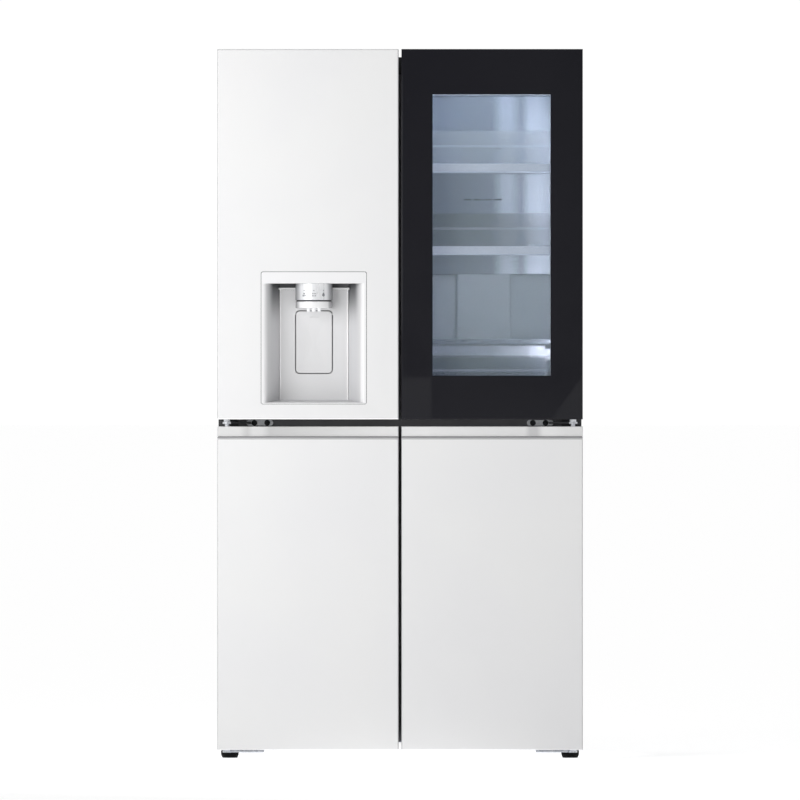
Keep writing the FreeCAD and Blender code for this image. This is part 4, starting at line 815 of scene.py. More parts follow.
def makeIcons(x, axisY, top):
    # three plain symbols: cubed ice, crushed ice and a water drop, each with a mark above it
    r = headSizes["radius"] + iconSizes["lift"]
    middle = top - iconSizes["down"]

    def onDrum(across, up):
        turn = across / r
        return (x + r * math.sin(turn), axisY - r * math.cos(turn), middle + up)

    def addPatch(bm, outline):
        bm.faces.new([bm.verts.new(onDrum(a, b)) for a, b in outline])

    bm = bmesh.new()
    size, offset = iconSizes["square"], iconSizes["offset"]
    for column, row in ((-1, -1), (1, -1), (0, 1)):
        a, b = -offset + column * 2.6 * mm, row * 2.6 * mm - 1 * mm
        addPatch(bm, [(a - size / 2, b - size / 2), (a + size / 2, b - size / 2),
                      (a + size / 2, b + size / 2), (a - size / 2, b + size / 2)])
    for column in range(3):
        for row in range(2):
            a, b = (column - 1) * 3.9 * mm + row * 0.8 * mm, (row - 0.5) * 5.2 * mm - 1 * mm
            addPatch(bm, [(a - 1.8 * mm, b - 1.7 * mm), (a + 1.8 * mm, b - 1.2 * mm), (a + 0.4 * mm, b + 2.0 * mm)])
    drop = []
    for step in range(20):
        turn = 2 * math.pi * step / 20
        reach = 3.7 * mm * (1 + 0.75 * max(0.0, math.sin(turn)) ** 6)
        drop.append((offset + reach * math.cos(turn), -2.0 * mm + reach * math.sin(turn)))
    addPatch(bm, drop)
    for a in (-offset, 0.0, offset):
        addPatch(bm, [(a - 2.2 * mm, 8.2 * mm), (a + 2.2 * mm, 8.2 * mm), (a, 11.0 * mm)])
    newPiece("spoutSymbols", bm, "left_door", ["iconPrint"], weighted=False)


def makeSpouts(x):
    low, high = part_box("dispenser_nozzles")
    y = (low.y + high.y) / 2
    bm = bmesh.new()
    for offset, radius in ((-13.5, 4.5), (0.0, 5.5), (13.5, 4.5)):
        radius *= mm
        profile = [
            (radius * 0.05, high.z), (radius, high.z), (radius, low.z + 0.6 * mm), (radius - 0.4 * mm, low.z),
            (radius - 1.5 * mm, low.z), (radius - 1.7 * mm, low.z + 4 * mm), (radius * 0.05, low.z + 4 * mm),
        ]
        addLathe(bm, (x + offset * mm, y, 0), profile, steps=28)
    newPiece(
        "spoutTips", bm, "left_door", ["platedSteel"], ["dispenser_nozzles"], 40,
    )


plateSizes = {
    "half": 86.0 * mm, "sheet": 1.6 * mm, "round": 4.0 * mm, "groove": 2.5 * mm, "corner": 9.0 * mm, "below": 15.5 * mm,
    "trimHalf": 89 * mm, "pinRoom": 0.3 * mm,
}
paddleSizes = {
    "half": 45 * mm, "setBack": 0.48 * mm, "sheet": 4 * mm, "hollow": 1.6 * mm, "pivotDown": 7 * mm,
    "pin": 2.4 * mm, "pinLength": 3.9 * mm,
}


def makeBackPlate(x):
    # pale plate on the niche's back wall, with round long edges and a hole for the paddle
    padLow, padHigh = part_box("dispenser_paddle")
    housingLow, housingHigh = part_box("dispenser_housing")
    wall = padLow.y
    half = plateSizes["half"]
    z0 = housingLow.z + nicheSizes["foot"]
    z1 = housingHigh.z - nicheSizes["header"] - plateSizes["below"]
    sheet, r = plateSizes["sheet"], plateSizes["round"]
    bm = bmesh.new()
    groove = plateSizes["groove"]
    padHalf = paddleSizes["half"] + groove
    hole = roundRect(
        x - padHalf, x + padHalf, padLow.z - groove, padHigh.z + groove, plateSizes["corner"] + groove, 6,
    )
    face = wall - sheet
    outer = [(x - half + r, z0), (x + half - r, z0), (x + half - r, z1), (x - half + r, z1)]
    outerVerts = [bm.verts.new((a, face, b)) for a, b in outer]
    holeVerts = [bm.verts.new((a, face, b)) for a, b in hole]
    edges = [bm.edges.new((loop[at - 1], loop[at])) for loop in (outerVerts, holeVerts) for at in range(len(loop))]
    bmesh.ops.triangle_fill(bm, edges=edges, use_beauty=True)
    # the hole's wall ends in front of the paddle's pins
    deep = [bm.verts.new((a, wall - plateSizes["pinRoom"], b)) for a, b in hole]
    for at in range(len(hole)):
        bm.faces.new((holeVerts[at - 1], holeVerts[at], deep[at], deep[at - 1]))
    for side in (leftSide, rightSide):
        strip = []
        for step in range(7):
            turn = math.radians(15 * step)
            reach = half - r + r * math.sin(turn)
            y = face + (sheet + 1 * mm) * (1 - math.cos(turn))
            strip.append([bm.verts.new((x + side * reach, y, z)) for z in (z0, z1)])
        for first, second in zip(strip, strip[1:]):
            bm.faces.new((first[0], second[0], second[1], first[1]))
    bmesh.ops.remove_doubles(bm, verts=bm.verts, dist=1e-6)
    bmesh.ops.recalc_face_normals(bm, faces=bm.faces)
    front = max(bm.faces, key=lambda f: f.calc_area())
    newPiece(
        "dispenserBackPlate", bm, "left_door", ["dispenserPlastic"], flip=front.normal.y > 0,
    )
    # the trims are made near white to stand in for the highlights on the plate's edges and ledge
    trims = bmesh.new()
    trim = plateSizes["trimHalf"]
    addBlock(trims, (x - trim, wall - 12 * mm, z1 + 0.5 * mm), (x + trim, wall + 1 * mm, z1 + 5.5 * mm), 1.2 * mm, 3)
    for side in (leftSide, rightSide):
        start, end = sorted((x + side * (half - 3.2 * mm), x + side * (half + 0.2 * mm)))
        addBlock(trims, (start, wall - 3.4 * mm, z0), (end, wall + 1 * mm, z1 + 1 * mm), 1.3 * mm, 3, 2)
    newPiece("dispenserTrims", trims, "left_door", ["highlightWhite"])


cheekSizes = {
    "front": 127.5 * mm, "back": 86.25 * mm, "round": 9.0 * mm, "turn": 66, "steps": 8, "drop": 7.5 * mm,
    "depth": 76 * mm,
}


def makeCheeks(x):
    # the niche's sides, rounded where they leave the rim
    low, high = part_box("dispenser_housing")
    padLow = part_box("dispenser_paddle")[0]
    z0, z1 = low.z + nicheSizes["foot"], high.z - nicheSizes["header"]
    r = cheekSizes["round"]
    curve = []
    for step in range(cheekSizes["steps"] + 1):
        turn = math.radians(cheekSizes["turn"] * step / cheekSizes["steps"])
        curve.append((cheekSizes["front"] - r * math.sin(turn), low.y + 0.1 * mm + r * (1 - math.cos(turn))))
    curve.append((cheekSizes["back"] + 0.2 * mm, padLow.y - 0.2 * mm))
    bm = bmesh.new()
    for side in (leftSide, rightSide):
        lines = []
        for a, y in curve:
            foot = z0 - cheekSizes["drop"] * max(0.0, 1 - (y - low.y) / cheekSizes["depth"])
            lines.append([bm.verts.new((x + side * a, y, z)) for z in (foot, z1)])
        for first, second in zip(lines, lines[1:]):
            corners = (first[0], second[0], second[1], first[1])
            bm.faces.new(corners if side == rightSide else tuple(reversed(corners)))
    bm.normal_update()
    front = max(bm.faces, key=lambda f: f.calc_area())
    if front.normal.y > 0:
        bmesh.ops.reverse_faces(bm, faces=bm.faces)
    mesh = bpy.data.meshes.new("dispenserCheeks")
    bm.to_mesh(mesh)
    bm.free()
    placePiece("dispenserCheeks", mesh, "left_door", ["nichePlastic"])


def makePaddle():
    # plate with a shallow hollow across its width and rounded edges
    low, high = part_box("dispenser_paddle")
    x = (low.x + high.x) / 2
    half, sheet = paddleSizes["half"], paddleSizes["sheet"]
    front = low.y + paddleSizes["setBack"]  # a little behind the plate about it
    rings = []
    for y, inset in ((sheet, 0.0), (1.0 * mm, 0.0), (0.3 * mm, 0.3 * mm), (0.0, 1.0 * mm)):
        outline = roundRect(
            x - half + inset, x + half - inset, low.z + inset, high.z - inset, plateSizes["corner"] - inset, 8,
        )
        rings.append([(a, front + y, b) for a, b in outline])
    bm = bmesh.new()
    loops = addLoft(bm, rings, capEnd=False)
    # the hollow: smaller rings that sink towards the middle
    previous = loops[-1]
    middle = (low.z + high.z) / 2
    for share in (0.93, 0.8, 0.6, 0.35, 0.12):
        ring = []
        for vert in loops[-1]:
            a = x + (vert.co.x - x) * share
            b = middle + (vert.co.z - middle) * share
            sink = paddleSizes["hollow"] * math.cos(math.pi / 2 * min(1.0, abs(a - x) / half)) * (1 - share)
            ring.append(bm.verts.new((a, front + sink, b)))
        for at in range(len(ring)):
            bm.faces.new((previous[at - 1], previous[at], ring[at], ring[at - 1]))
        previous = ring
    bm.faces.new(previous)
    addBlock(
        bm, (x - 12 * mm, front - 1.4 * mm, high.z - 17 * mm), (x + 12 * mm, front + 1.5 * mm, high.z - 14.6 * mm),
        0.6 * mm, 2,
    )
    pivot = high.z - paddleSizes["pivotDown"]
    for side in (leftSide, rightSide):
        start, end = sorted((x + side * half, x + side * (half + paddleSizes["pinLength"])))
        profile = [(paddleSizes["pin"], start), (paddleSizes["pin"], end)]
        addLathe(bm, (0, front + 2 * mm, pivot), profile, 0, 20)
    newPiece("paddlePlate", bm, "paddle", ["dispenserPlastic"], ["dispenser_paddle"], 40)


headX, headAxis, headTop = makeHead()
makeIcons(headX, headAxis, headTop)
makeSpouts(headX)
makeBackPlate(headX)
makeCheeks(headX)
makePaddle()
print("dispenser made")


def solidBoxes(node):
    # the box of each separate solid in a node, from left to right and then upwards
    bm = bmesh.new()
    bm.from_mesh(cadNodes[node].data)
    bmesh.ops.remove_doubles(bm, verts=bm.verts, dist=1e-6)
    waiting = set(bm.verts)
    found = []
    while waiting:
        front = [waiting.pop()]
        low, high = front[0].co.copy(), front[0].co.copy()
        while front:
            vert = front.pop()
            for axis in range(3):
                low[axis] = min(low[axis], vert.co[axis])
                high[axis] = max(high[axis], vert.co[axis])
            for edge in vert.link_edges:
                other = edge.other_vert(vert)
                if other in waiting:
                    waiting.remove(other)
                    front.append(other)
        found.append((low, high))
    bm.free()
    return sorted(found, key=lambda box: (round(box[0].x, 4), round(box[0].z, 4)))


# Inside: linings, shelves, bins and drawers

linerSizes = {"corner": 13.0 * mm, "wall": 1.8 * mm, "partition": 25.0 * mm, "skin": 2.0 * mm}


def addLiningShell(bm, outline, x0, x1, front):
    # a room with rounded corners, open at its front; the outline runs in Y and Z
    part = bmesh.new()
    addPrism(part, outline, x0, x1, 0)
    part.verts.ensure_lookup_table()
    edges = []
    for edge in part.edges:
        if not all(abs(vert.co.y - front) < 1e-5 for vert in edge.verts):
            edges.append(edge)
    bmesh.ops.bevel(
        part, geom=edges, offset=linerSizes["corner"], segments=5, profile=0.5, affect="EDGES", clamp_overlap=True,
    )
    bmesh.ops.recalc_face_normals(part, faces=part.faces)
    mouth = [face for face in part.faces if all(abs(vert.co.y - front) < 1e-5 for vert in face.verts)]
    bmesh.ops.delete(part, geom=mouth, context="FACES")
    bmesh.ops.reverse_faces(part, faces=part.faces)
    mergeInto(bm, part)


def mergeInto(bm, part):
    mesh = bpy.data.meshes.new("joining")
    part.to_mesh(mesh)
    part.free()
    bm.from_mesh(mesh)
    bpy.data.meshes.remove(mesh)


def makeLinings():
    low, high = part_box("compartment_liners")
    skin = linerSizes["skin"]
    front, back = low.y, high.y - skin
    x0, x1 = linerSizes["partition"], high.x - skin
    lamps = [box for box in solidBoxes("interior_lamps") if box[0].x > 0 and box[1].x - box[0].x > 0.1]
    lowerTop, upperTop = sorted(box[1].z for box in lamps)
    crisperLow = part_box("crisper_right")[0].z
    upperFloor = crisperLow - 5 * mm
    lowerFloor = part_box("freezer_drawer_lower_right")[0].z - 5 * mm
    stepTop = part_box("freezer_drawer_upper_right")[0].z - 5 * mm
    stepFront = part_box("freezer_drawer_lower_right")[1].y + 6 * mm
    upper = [(front, upperFloor), (back, upperFloor), (back, upperTop), (front, upperTop)]
    lower = [(front, lowerFloor), (stepFront, lowerFloor), (stepFront, stepTop), (back, stepTop),
             (back, lowerTop), (front, lowerTop)]
    bm = bmesh.new()
    for side in (leftSide, rightSide):
        a, b = sorted((side * x0, side * x1))
        addLiningShell(bm, upper, a, b, front)
        addLiningShell(bm, lower, a, b, front)
    mesh = bpy.data.meshes.new("linings")
    bm.to_mesh(mesh)
    bm.free()
    piece = placePiece("linings", mesh, "cabinet", ["linerPlastic"], ["compartment_liners"])
    thicken(piece, linerSizes["wall"], -1.0)
    ledges = bmesh.new()
    for box in solidBoxes("glass_shelves"):
        top = box[0].z + 5 * mm
        for x in (box[0].x - 1.5 * mm, box[1].x - 6.5 * mm):
            start, end = (x, box[0].y + 14 * mm, top - 6 * mm), (x + 8 * mm, box[1].y - 9 * mm, top - 0.2 * mm)
            addBlock(ledges, start, end, 1.5 * mm, 2)
    newPiece("shelfLedges", ledges, "cabinet", ["linerPlastic"])


shelfSizes = {"sheet": 4.0 * mm, "trimHeight": 12.0 * mm}


def makeShelves():
    # toughened glass with a moulded nose along the front and a slim strip behind
    bm = bmesh.new()
    for low, high in solidBoxes("glass_shelves"):
        z = low.z + 5 * mm
        addBlock(bm, (low.x, low.y + 5 * mm, z), (high.x, high.y - 3 * mm, z + shelfSizes["sheet"]), 0.8 * mm, 2)
        nose = []
        middle = low.z + shelfSizes["trimHeight"] / 2
        for step in range(9):
            turn = math.radians(90 + 22.5 * step)
            nose.append((low.y + 4 * mm + 4 * mm * math.cos(turn), middle + 6 * mm * math.sin(turn)))
        nose += [(low.y + 10 * mm, low.z), (low.y + 10 * mm, z - 0.1 * mm), (low.y + 7 * mm, z - 0.1 * mm),
                 (low.y + 7 * mm, z + 4.1 * mm), (low.y + 12 * mm, z + 4.1 * mm), (low.y + 12 * mm, high.z)]
        addPrism(bm, nose, low.x, high.x, 0, 1)
        addBlock(bm, (low.x, high.y - 7 * mm, z - 1.5 * mm), (high.x, high.y, z + 6.5 * mm), 1.2 * mm, 2, index=1)
    newPiece("shelves", bm, "cabinet", ["clearGlass", "greyTrim"], ["glass_shelves"])


binSizes = {
    "wall": 3.0 * mm, "base": 6.0 * mm, "corner": 8.0 * mm, "band": 21.0 * mm, "rim": 4.0 * mm, "hook": 17.7 * mm,
}


def addTray(bm, x0, x1, y0, y1, z0, z1, wall, base, corner, band, rim, taper=0.0, indices=(1, 0)):
    # open container: a band at its foot, walls, and a thicker rim; indices are the band's and the walls' slots
    bandIndex, wallIndex = indices
    plan = [
        (z0, 3.0 * mm, bandIndex), (z0 + 0.9 * mm, 0.9 * mm, bandIndex), (z0 + 3.0 * mm, 0.0, bandIndex),
        (z0 + band, 0.0, wallIndex), (z0 + band, 1.0 * mm, wallIndex), (z1 - rim, 1.0 * mm, wallIndex),
        (z1 - rim + 0.6 * mm, 0.0, wallIndex), (z1 - 0.7 * mm, 0.0, wallIndex), (z1, 0.7 * mm, wallIndex),
        (z1, wall - 0.7 * mm, wallIndex), (z1 - 0.7 * mm, wall, wallIndex), (z0 + band, wall, bandIndex),
        (z0 + base + 3.0 * mm, wall, bandIndex), (z0 + base, wall + 3.0 * mm, bandIndex),
    ]
    rings = []
    for z, inset, _ in plan:
        lean = taper * (z1 - z)
        inset += lean
        outline = roundRect(x0 + inset, x1 - inset, y0 + inset, y1 - inset, corner, 5)
        rings.append([(x, y, z) for x, y in outline])
    addLoft(bm, rings, [index for _, _, index in plan])


def makeBins(name, node, body):
    bm = bmesh.new()
    for low, high in solidBoxes(node):
        mirrored = high.x < 0
        hook = binSizes["hook"]
        x0, x1 = (low.x, high.x - hook) if mirrored else (low.x + hook, high.x)
        addTray(
            bm, x0, x1, low.y, high.y, low.z, high.z, binSizes["wall"], binSizes["base"], binSizes["corner"],
            binSizes["band"], binSizes["rim"],
        )
        ends = (x1 - 1 * mm, high.x) if mirrored else (low.x, x0 + 1 * mm)
        backY = low.y + 8 * mm
        start, end = (ends[0], backY, low.z + 10 * mm), (ends[1], backY + 36 * mm, low.z + 50 * mm)
        addBlock(bm, start, end, 2 * mm, 3, index=1)
        # a retaining strip along the side that faces the room
        addBlock(
            bm, (x0 + 4 * mm, high.y - 0.9 * mm, high.z - 40 * mm), (x1 - 4 * mm, high.y + 0.4 * mm, high.z - 34 * mm),
            0.6 * mm, 2, index=1,
        )
    newPiece(name, bm, body, ["clearPlastic", "binTrim"], [node], 40)


drawerSizes = {"rim": 7.0 * mm, "rimHeight": 8.0 * mm, "wall": 3.0 * mm, "face": 7.0 * mm, "corner": 10.0 * mm}


def makeDrawer(name, node, body):
    low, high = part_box(node)
    rim, face = drawerSizes["rim"], drawerSizes["face"]
    bm = bmesh.new()
    addTray(
        bm, low.x + rim, high.x - rim, low.y + face - 1 * mm, high.y, low.z, high.z, drawerSizes["wall"],
        drawerSizes["wall"], drawerSizes["corner"], 12 * mm, 6 * mm, indices=(0, 0),
    )
    for x0, x1 in ((low.x, low.x + rim + 1 * mm), (high.x - rim - 1 * mm, high.x)):
        addBlock(
            bm, (x0, low.y + 18 * mm, high.z - drawerSizes["rimHeight"]), (x1, high.y, high.z), 1.5 * mm, 2, index=1,
        )
    # the face: a clear panel under a moulded grip that curls forward at its top
    addBlock(bm, (low.x, low.y + 1.2 * mm, low.z), (high.x, low.y + face, high.z - 30 * mm), 2.4 * mm, 3)
    grip = [(low.y + face, high.z - 31 * mm), (low.y + face, high.z - 1 * mm), (low.y + face - 1 * mm, high.z)]
    for step in range(7):
        turn = math.radians(90 + 15 * step)
        grip.append((low.y + 2 * mm + 2 * mm * math.cos(turn), high.z - 2 * mm + 2 * mm * math.sin(turn)))
    grip += [(low.y, high.z - 9 * mm), (low.y + 2.6 * mm, high.z - 13 * mm), (low.y + 2.9 * mm, high.z - 24 * mm),
             (low.y + 0.6 * mm, high.z - 29 * mm), (low.y + 1.0 * mm, high.z - 31 * mm)]
    addPrism(bm, grip, low.x, high.x, 0, 1)
    newPiece(name, bm, body, ["frostedPlastic", "whiteTrim"], [node], 40)


panelSizes = {
    "z0": 1.217, "z1": 1.674, "inset": 8.0 * mm, "round": 3.0 * mm, "ventFoot": 60 * mm, "ventRow": 130 * mm,
    "ventPitch": 26 * mm, "ventHalf": 10 * mm,
}


def makeBackPanels():
    # brushed sheet over the air duct on each upper compartment's back wall, with its vents
    bm = bmesh.new()
    ducts = [box for box in solidBoxes("air_ducts") if box[1].z > 1]
    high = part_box("compartment_liners")[1]
    for low, top in ducts:
        side = rightSide if low.x > 0 else leftSide
        inset, half = panelSizes["inset"], panelSizes["ventHalf"]
        x0, x1 = sorted((side * (linerSizes["partition"] + inset), side * (high.x - 2 * inset)))
        face = low.y - 0.7 * mm
        addBlock(bm, (x0, face, panelSizes["z0"]), (x1, high.y - 2 * mm, panelSizes["z1"]), panelSizes["round"], 4)
        middle = (x0 + x1) / 2
        for row in range(3):
            z = panelSizes["z0"] + panelSizes["ventFoot"] + row * panelSizes["ventRow"]
            for step in range(4):
                x = middle + (step - 1.5) * panelSizes["ventPitch"]
                start, end = (x - half, face - 0.3 * mm, z), (x + half, face + 1 * mm, z + 4 * mm)
                addBlock(bm, start, end, 0.1 * mm, 1, index=1)
    newPiece("backPanels", bm, "cabinet", ["steelPanel", "seamShadow"])


makeLinings()
makeBackPanels()
makeShelves()
makeBins("windowBins", "window_door_bins", "window_door")
makeBins("leftBins", "left_door_bins", "left_door")
for label in ("left", "right"):
    makeDrawer(f"crisperDrawer_{label}", f"crisper_{label}", f"crisper_{label}")
    for level in ("upper", "lower"):
        node = f"freezer_drawer_{level}_{label}"
        makeDrawer(f"freezerDrawer_{level}_{label}", node, node)
print("inside made")


# Geometry node trees for repeated and swept shapes

def newTree(name, inputs):
    tree = bpy.data.node_groups.new(name, "GeometryNodeTree")
    tree.interface.new_socket("Geometry", in_out="INPUT", socket_type="NodeSocketGeometry")
    for label, (kind, value) in inputs.items():
        made = tree.interface.new_socket(label, in_out="INPUT", socket_type="NodeSocket" + kind)
        if value is not None:
            made.default_value = value
    tree.interface.new_socket("Geometry", in_out="OUTPUT", socket_type="NodeSocketGeometry")
    return tree, tree.nodes.new("NodeGroupInput"), tree.nodes.new("NodeGroupOutput")


def addNode(tree, kind, links=None, **values):
    # a node with its plain values and the sockets that feed it
    node = tree.nodes.new(kind)
    for label, value in values.items():
        if label in node.bl_rna.properties:
            setattr(node, label, value)
    for label, source in (links or {}).items():
        target = node.inputs[label]
        if hasattr(source, "is_output"):
            tree.links.new(source, target)
        else:
            target.default_value = source
    return node


def mathNode(tree, operation, first, second):
    return addNode(tree, "ShaderNodeMath", {0: first, 1: second}, operation=operation).outputs[0]


def vectorNode(tree, x, y, z):
    return addNode(tree, "ShaderNodeCombineXYZ", {"X": x, "Y": y, "Z": z}).outputs[0]


def finishTree(tree, geometry, start, end):
    real = addNode(tree, "GeometryNodeRealizeInstances", {"Geometry": geometry})
    dressed = addNode(
        tree, "GeometryNodeSetMaterial", {"Geometry": real.outputs[0], "Material": start.outputs["Material"]},
    )
    tree.links.new(dressed.outputs[0], end.inputs["Geometry"])


def bakePiece(name, tree, source, values, body, replaced=(), sharp=35):
    piece = bpy.data.objects.new(name, source)
    scene.collection.objects.link(piece)
    builder = piece.modifiers.new("build", "NODES")
    builder.node_group = tree
    for item in tree.interface.items_tree:
        if item.in_out == "INPUT" and item.name in values:
            builder[item.identifier] = values[item.name]
    bpy.context.view_layer.update()
    ready = piece.evaluated_get(bpy.context.evaluated_depsgraph_get())
    baked = bpy.data.meshes.new_from_object(ready)
    bpy.data.objects.remove(piece)
    baked.name = name
    return placePiece(name, baked, body, [], replaced, sharp, weighted=False)


def pointMesh(name, points, facings=None):
    mesh = bpy.data.meshes.new(name)
    mesh.from_pydata([tuple(point) for point in points], [], [])
    if facings:
        attribute = mesh.attributes.new("facing", "FLOAT_VECTOR", "POINT")
        for at, facing in enumerate(facings):
            attribute.data[at].vector = facing
    return mesh


def screwTree():
    tree, start, end = newTree("screwHeads", {
        "Radius": ("Float", 0.00575), "Height": ("Float", 0.004), "Material": ("Material", None),
    })
    radius, height = start.outputs["Radius"], start.outputs["Height"]
    washer = addNode(tree, "GeometryNodeMeshCylinder", {
        "Vertices": 24, "Radius": radius, "Depth": mathNode(tree, "MULTIPLY", height, 0.3),
    })
    hexHead = addNode(tree, "GeometryNodeMeshCylinder", {
        "Vertices": 6, "Radius": mathNode(tree, "MULTIPLY", radius, 0.86),
        "Depth": mathNode(tree, "MULTIPLY", height, 0.66),
    })
    crown = addNode(tree, "GeometryNodeMeshCone", {
        "Vertices": 12, "Radius Bottom": mathNode(tree, "MULTIPLY", radius, 0.66),
        "Radius Top": mathNode(tree, "MULTIPLY", radius, 0.45), "Depth": mathNode(tree, "MULTIPLY", height, 0.1),
    })

    def raised(shape, share):
        lift = vectorNode(tree, 0.0, 0.0, mathNode(tree, "MULTIPLY", height, share))
        return addNode(tree, "GeometryNodeTransform", {"Geometry": shape.outputs[0], "Translation": lift})

    parts = addNode(tree, "GeometryNodeJoinGeometry")
    for made in (raised(crown, 0.9), raised(hexHead, 0.57), raised(washer, 0.15)):
        tree.links.new(made.outputs[0], parts.inputs[0])
    facing = addNode(tree, "GeometryNodeInputNamedAttribute", {"Name": "facing"}, data_type="FLOAT_VECTOR")
    turned = addNode(tree, "FunctionNodeAlignRotationToVector", {"Vector": facing.outputs[0]}, axis="Z")
    placed = addNode(tree, "GeometryNodeInstanceOnPoints", {
        "Points": start.outputs["Geometry"], "Instance": parts.outputs[0], "Rotation": turned.outputs[0],
    })
    finishTree(tree, placed.outputs[0], start, end)
    return tree


def beadTree():
    # long pressed beads with round ends: a cylinder and two balls, flattened and set on each point
    tree, start, end = newTree("pressedBeads", {
        "Radius": ("Float", 0.004), "Length": ("Float", 0.1), "Height": ("Float", 0.002),
        "Turn": ("Float", 0.0), "Material": ("Material", None),
    })
    radius, length = start.outputs["Radius"], start.outputs["Length"]
    bar = addNode(tree, "GeometryNodeMeshCylinder", {"Vertices": 16, "Radius": radius, "Depth": length})
    ball = addNode(tree, "GeometryNodeMeshUVSphere", {"Segments": 16, "Rings": 8, "Radius": radius})
    half = mathNode(tree, "MULTIPLY", length, 0.5)
    parts = addNode(tree, "GeometryNodeJoinGeometry")
    tree.links.new(bar.outputs[0], parts.inputs[0])
    for sign in (1.0, -1.0):
        shift = vectorNode(tree, 0.0, 0.0, mathNode(tree, "MULTIPLY", half, sign))
        moved = addNode(tree, "GeometryNodeTransform", {"Geometry": ball.outputs[0], "Translation": shift})
        tree.links.new(moved.outputs[0], parts.inputs[0])
    flat = mathNode(tree, "DIVIDE", start.outputs["Height"], radius)
    pressed = addNode(tree, "GeometryNodeTransform", {
        "Geometry": parts.outputs[0], "Scale": vectorNode(tree, 1.0, flat, 1.0),
    })
    turned = addNode(tree, "GeometryNodeTransform", {
        "Geometry": pressed.outputs[0], "Rotation": vectorNode(tree, 0.0, start.outputs["Turn"], 0.0),
    })
    placed = addNode(tree, "GeometryNodeInstanceOnPoints", {
        "Points": start.outputs["Geometry"], "Instance": turned.outputs[0],
    })
    finishTree(tree, placed.outputs[0], start, end)
    return tree


def gasketTree():
    # a magnet strip, a folded bellows and a mounting dart, swept round one ring
    tree, start, end = newTree("doorSeal", {
        "Width": ("Float", 0.4), "Height": ("Float", 0.8), "Corner": ("Float", 0.01), "Material": ("Material", None),
    })
    ring = addNode(tree, "GeometryNodeCurvePrimitiveQuadrilateral", {
        "Width": start.outputs["Width"], "Height": start.outputs["Height"],
    })
    soft = addNode(tree, "GeometryNodeFilletCurve", {
        "Curve": ring.outputs[0], "Radius": start.outputs["Corner"], "Count": 6,
    }, mode="POLY")
    if "Mode" in soft.inputs:
        soft.inputs["Mode"].default_value = "Poly"
    parts = addNode(tree, "GeometryNodeJoinGeometry")
    for wide, tall, across, up in gasketSizes["parts"]:
        profile = addNode(tree, "GeometryNodeCurvePrimitiveQuadrilateral", {"Width": wide, "Height": tall})
        eased = addNode(tree, "GeometryNodeFilletCurve", {
            "Curve": profile.outputs[0], "Radius": min(wide, tall) * 0.4, "Count": 3,
        }, mode="POLY")
        if "Mode" in eased.inputs:
            eased.inputs["Mode"].default_value = "Poly"
        moved = addNode(tree, "GeometryNodeTransform", {
            "Geometry": eased.outputs[0], "Translation": (across, up, 0.0),
        })
        swept = addNode(tree, "GeometryNodeCurveToMesh", {"Curve": soft.outputs[0], "Profile Curve": moved.outputs[0]})
        tree.links.new(swept.outputs[0], parts.inputs[0])
    upright = addNode(tree, "GeometryNodeTransform", {
        "Geometry": parts.outputs[0], "Rotation": (math.radians(90), 0.0, 0.0),
    })
    placed = addNode(tree, "GeometryNodeInstanceOnPoints", {
        "Points": start.outputs["Geometry"], "Instance": upright.outputs[0],
    })
    finishTree(tree, placed.outputs[0], start, end)
    return tree


def finTree():
    # thin plates in a row, tubes through them and a return bend at each tube's end
    tree, start, end = newTree("finnedCoil", {
        "Length": ("Float", 0.3), "Depth": ("Float", 0.1), "Height": ("Float", 0.17), "Fins": ("Int", 60),
        "Sheet": ("Float", 0.0006), "Tube Radius": ("Float", 0.004), "Rows": ("Int", 4), "Columns": ("Int", 3),
        "Row Pitch": ("Float", 0.04), "Column Pitch": ("Float", 0.036), "Overhang": ("Float", 0.006),
        "Material": ("Material", None),
    })
    out = start.outputs
    plate = addNode(tree, "GeometryNodeMeshCube", {
        "Size": vectorNode(tree, out["Sheet"], out["Depth"], out["Height"]),
    })
    halfLength = mathNode(tree, "MULTIPLY", out["Length"], 0.5)
    step = mathNode(tree, "DIVIDE", out["Length"], mathNode(tree, "SUBTRACT", out["Fins"], 1.0))
    row = addNode(tree, "GeometryNodeMeshLine", {
        "Count": out["Fins"],
        "Start Location": vectorNode(tree, mathNode(tree, "MULTIPLY", halfLength, -1.0), 0.0, 0.0),
        "Offset": vectorNode(tree, step, 0.0, 0.0),
    })
    plates = addNode(tree, "GeometryNodeInstanceOnPoints", {"Points": row.outputs[0], "Instance": plate.outputs[0]})
    tubeLength = mathNode(tree, "ADD", out["Length"], mathNode(tree, "MULTIPLY", out["Overhang"], 2.0))
    tube = addNode(tree, "GeometryNodeMeshCylinder", {
        "Vertices": 14, "Radius": out["Tube Radius"], "Depth": tubeLength,
    })
    quarter = (0.0, math.radians(90), 0.0)
    laid = addNode(tree, "GeometryNodeTransform", {"Geometry": tube.outputs[0], "Rotation": quarter})
    sizeZ = mathNode(tree, "MULTIPLY", out["Row Pitch"], mathNode(tree, "SUBTRACT", out["Rows"], 1.0))
    sizeY = mathNode(tree, "MULTIPLY", out["Column Pitch"], mathNode(tree, "SUBTRACT", out["Columns"], 1.0))
    grid = addNode(tree, "GeometryNodeMeshGrid", {
        "Size X": sizeZ, "Size Y": sizeY, "Vertices X": out["Rows"], "Vertices Y": out["Columns"],
    })
    upright = addNode(tree, "GeometryNodeTransform", {"Geometry": grid.outputs[0], "Rotation": quarter})
    tubes = addNode(tree, "GeometryNodeInstanceOnPoints", {"Points": upright.outputs[0], "Instance": laid.outputs[0]})
    parts = addNode(tree, "GeometryNodeJoinGeometry")
    for made in (plates, tubes):
        tree.links.new(made.outputs[0], parts.inputs[0])
    placed = addNode(tree, "GeometryNodeInstanceOnPoints", {"Points": out["Geometry"], "Instance": parts.outputs[0]})
    finishTree(tree, placed.outputs[0], start, end)
    return tree


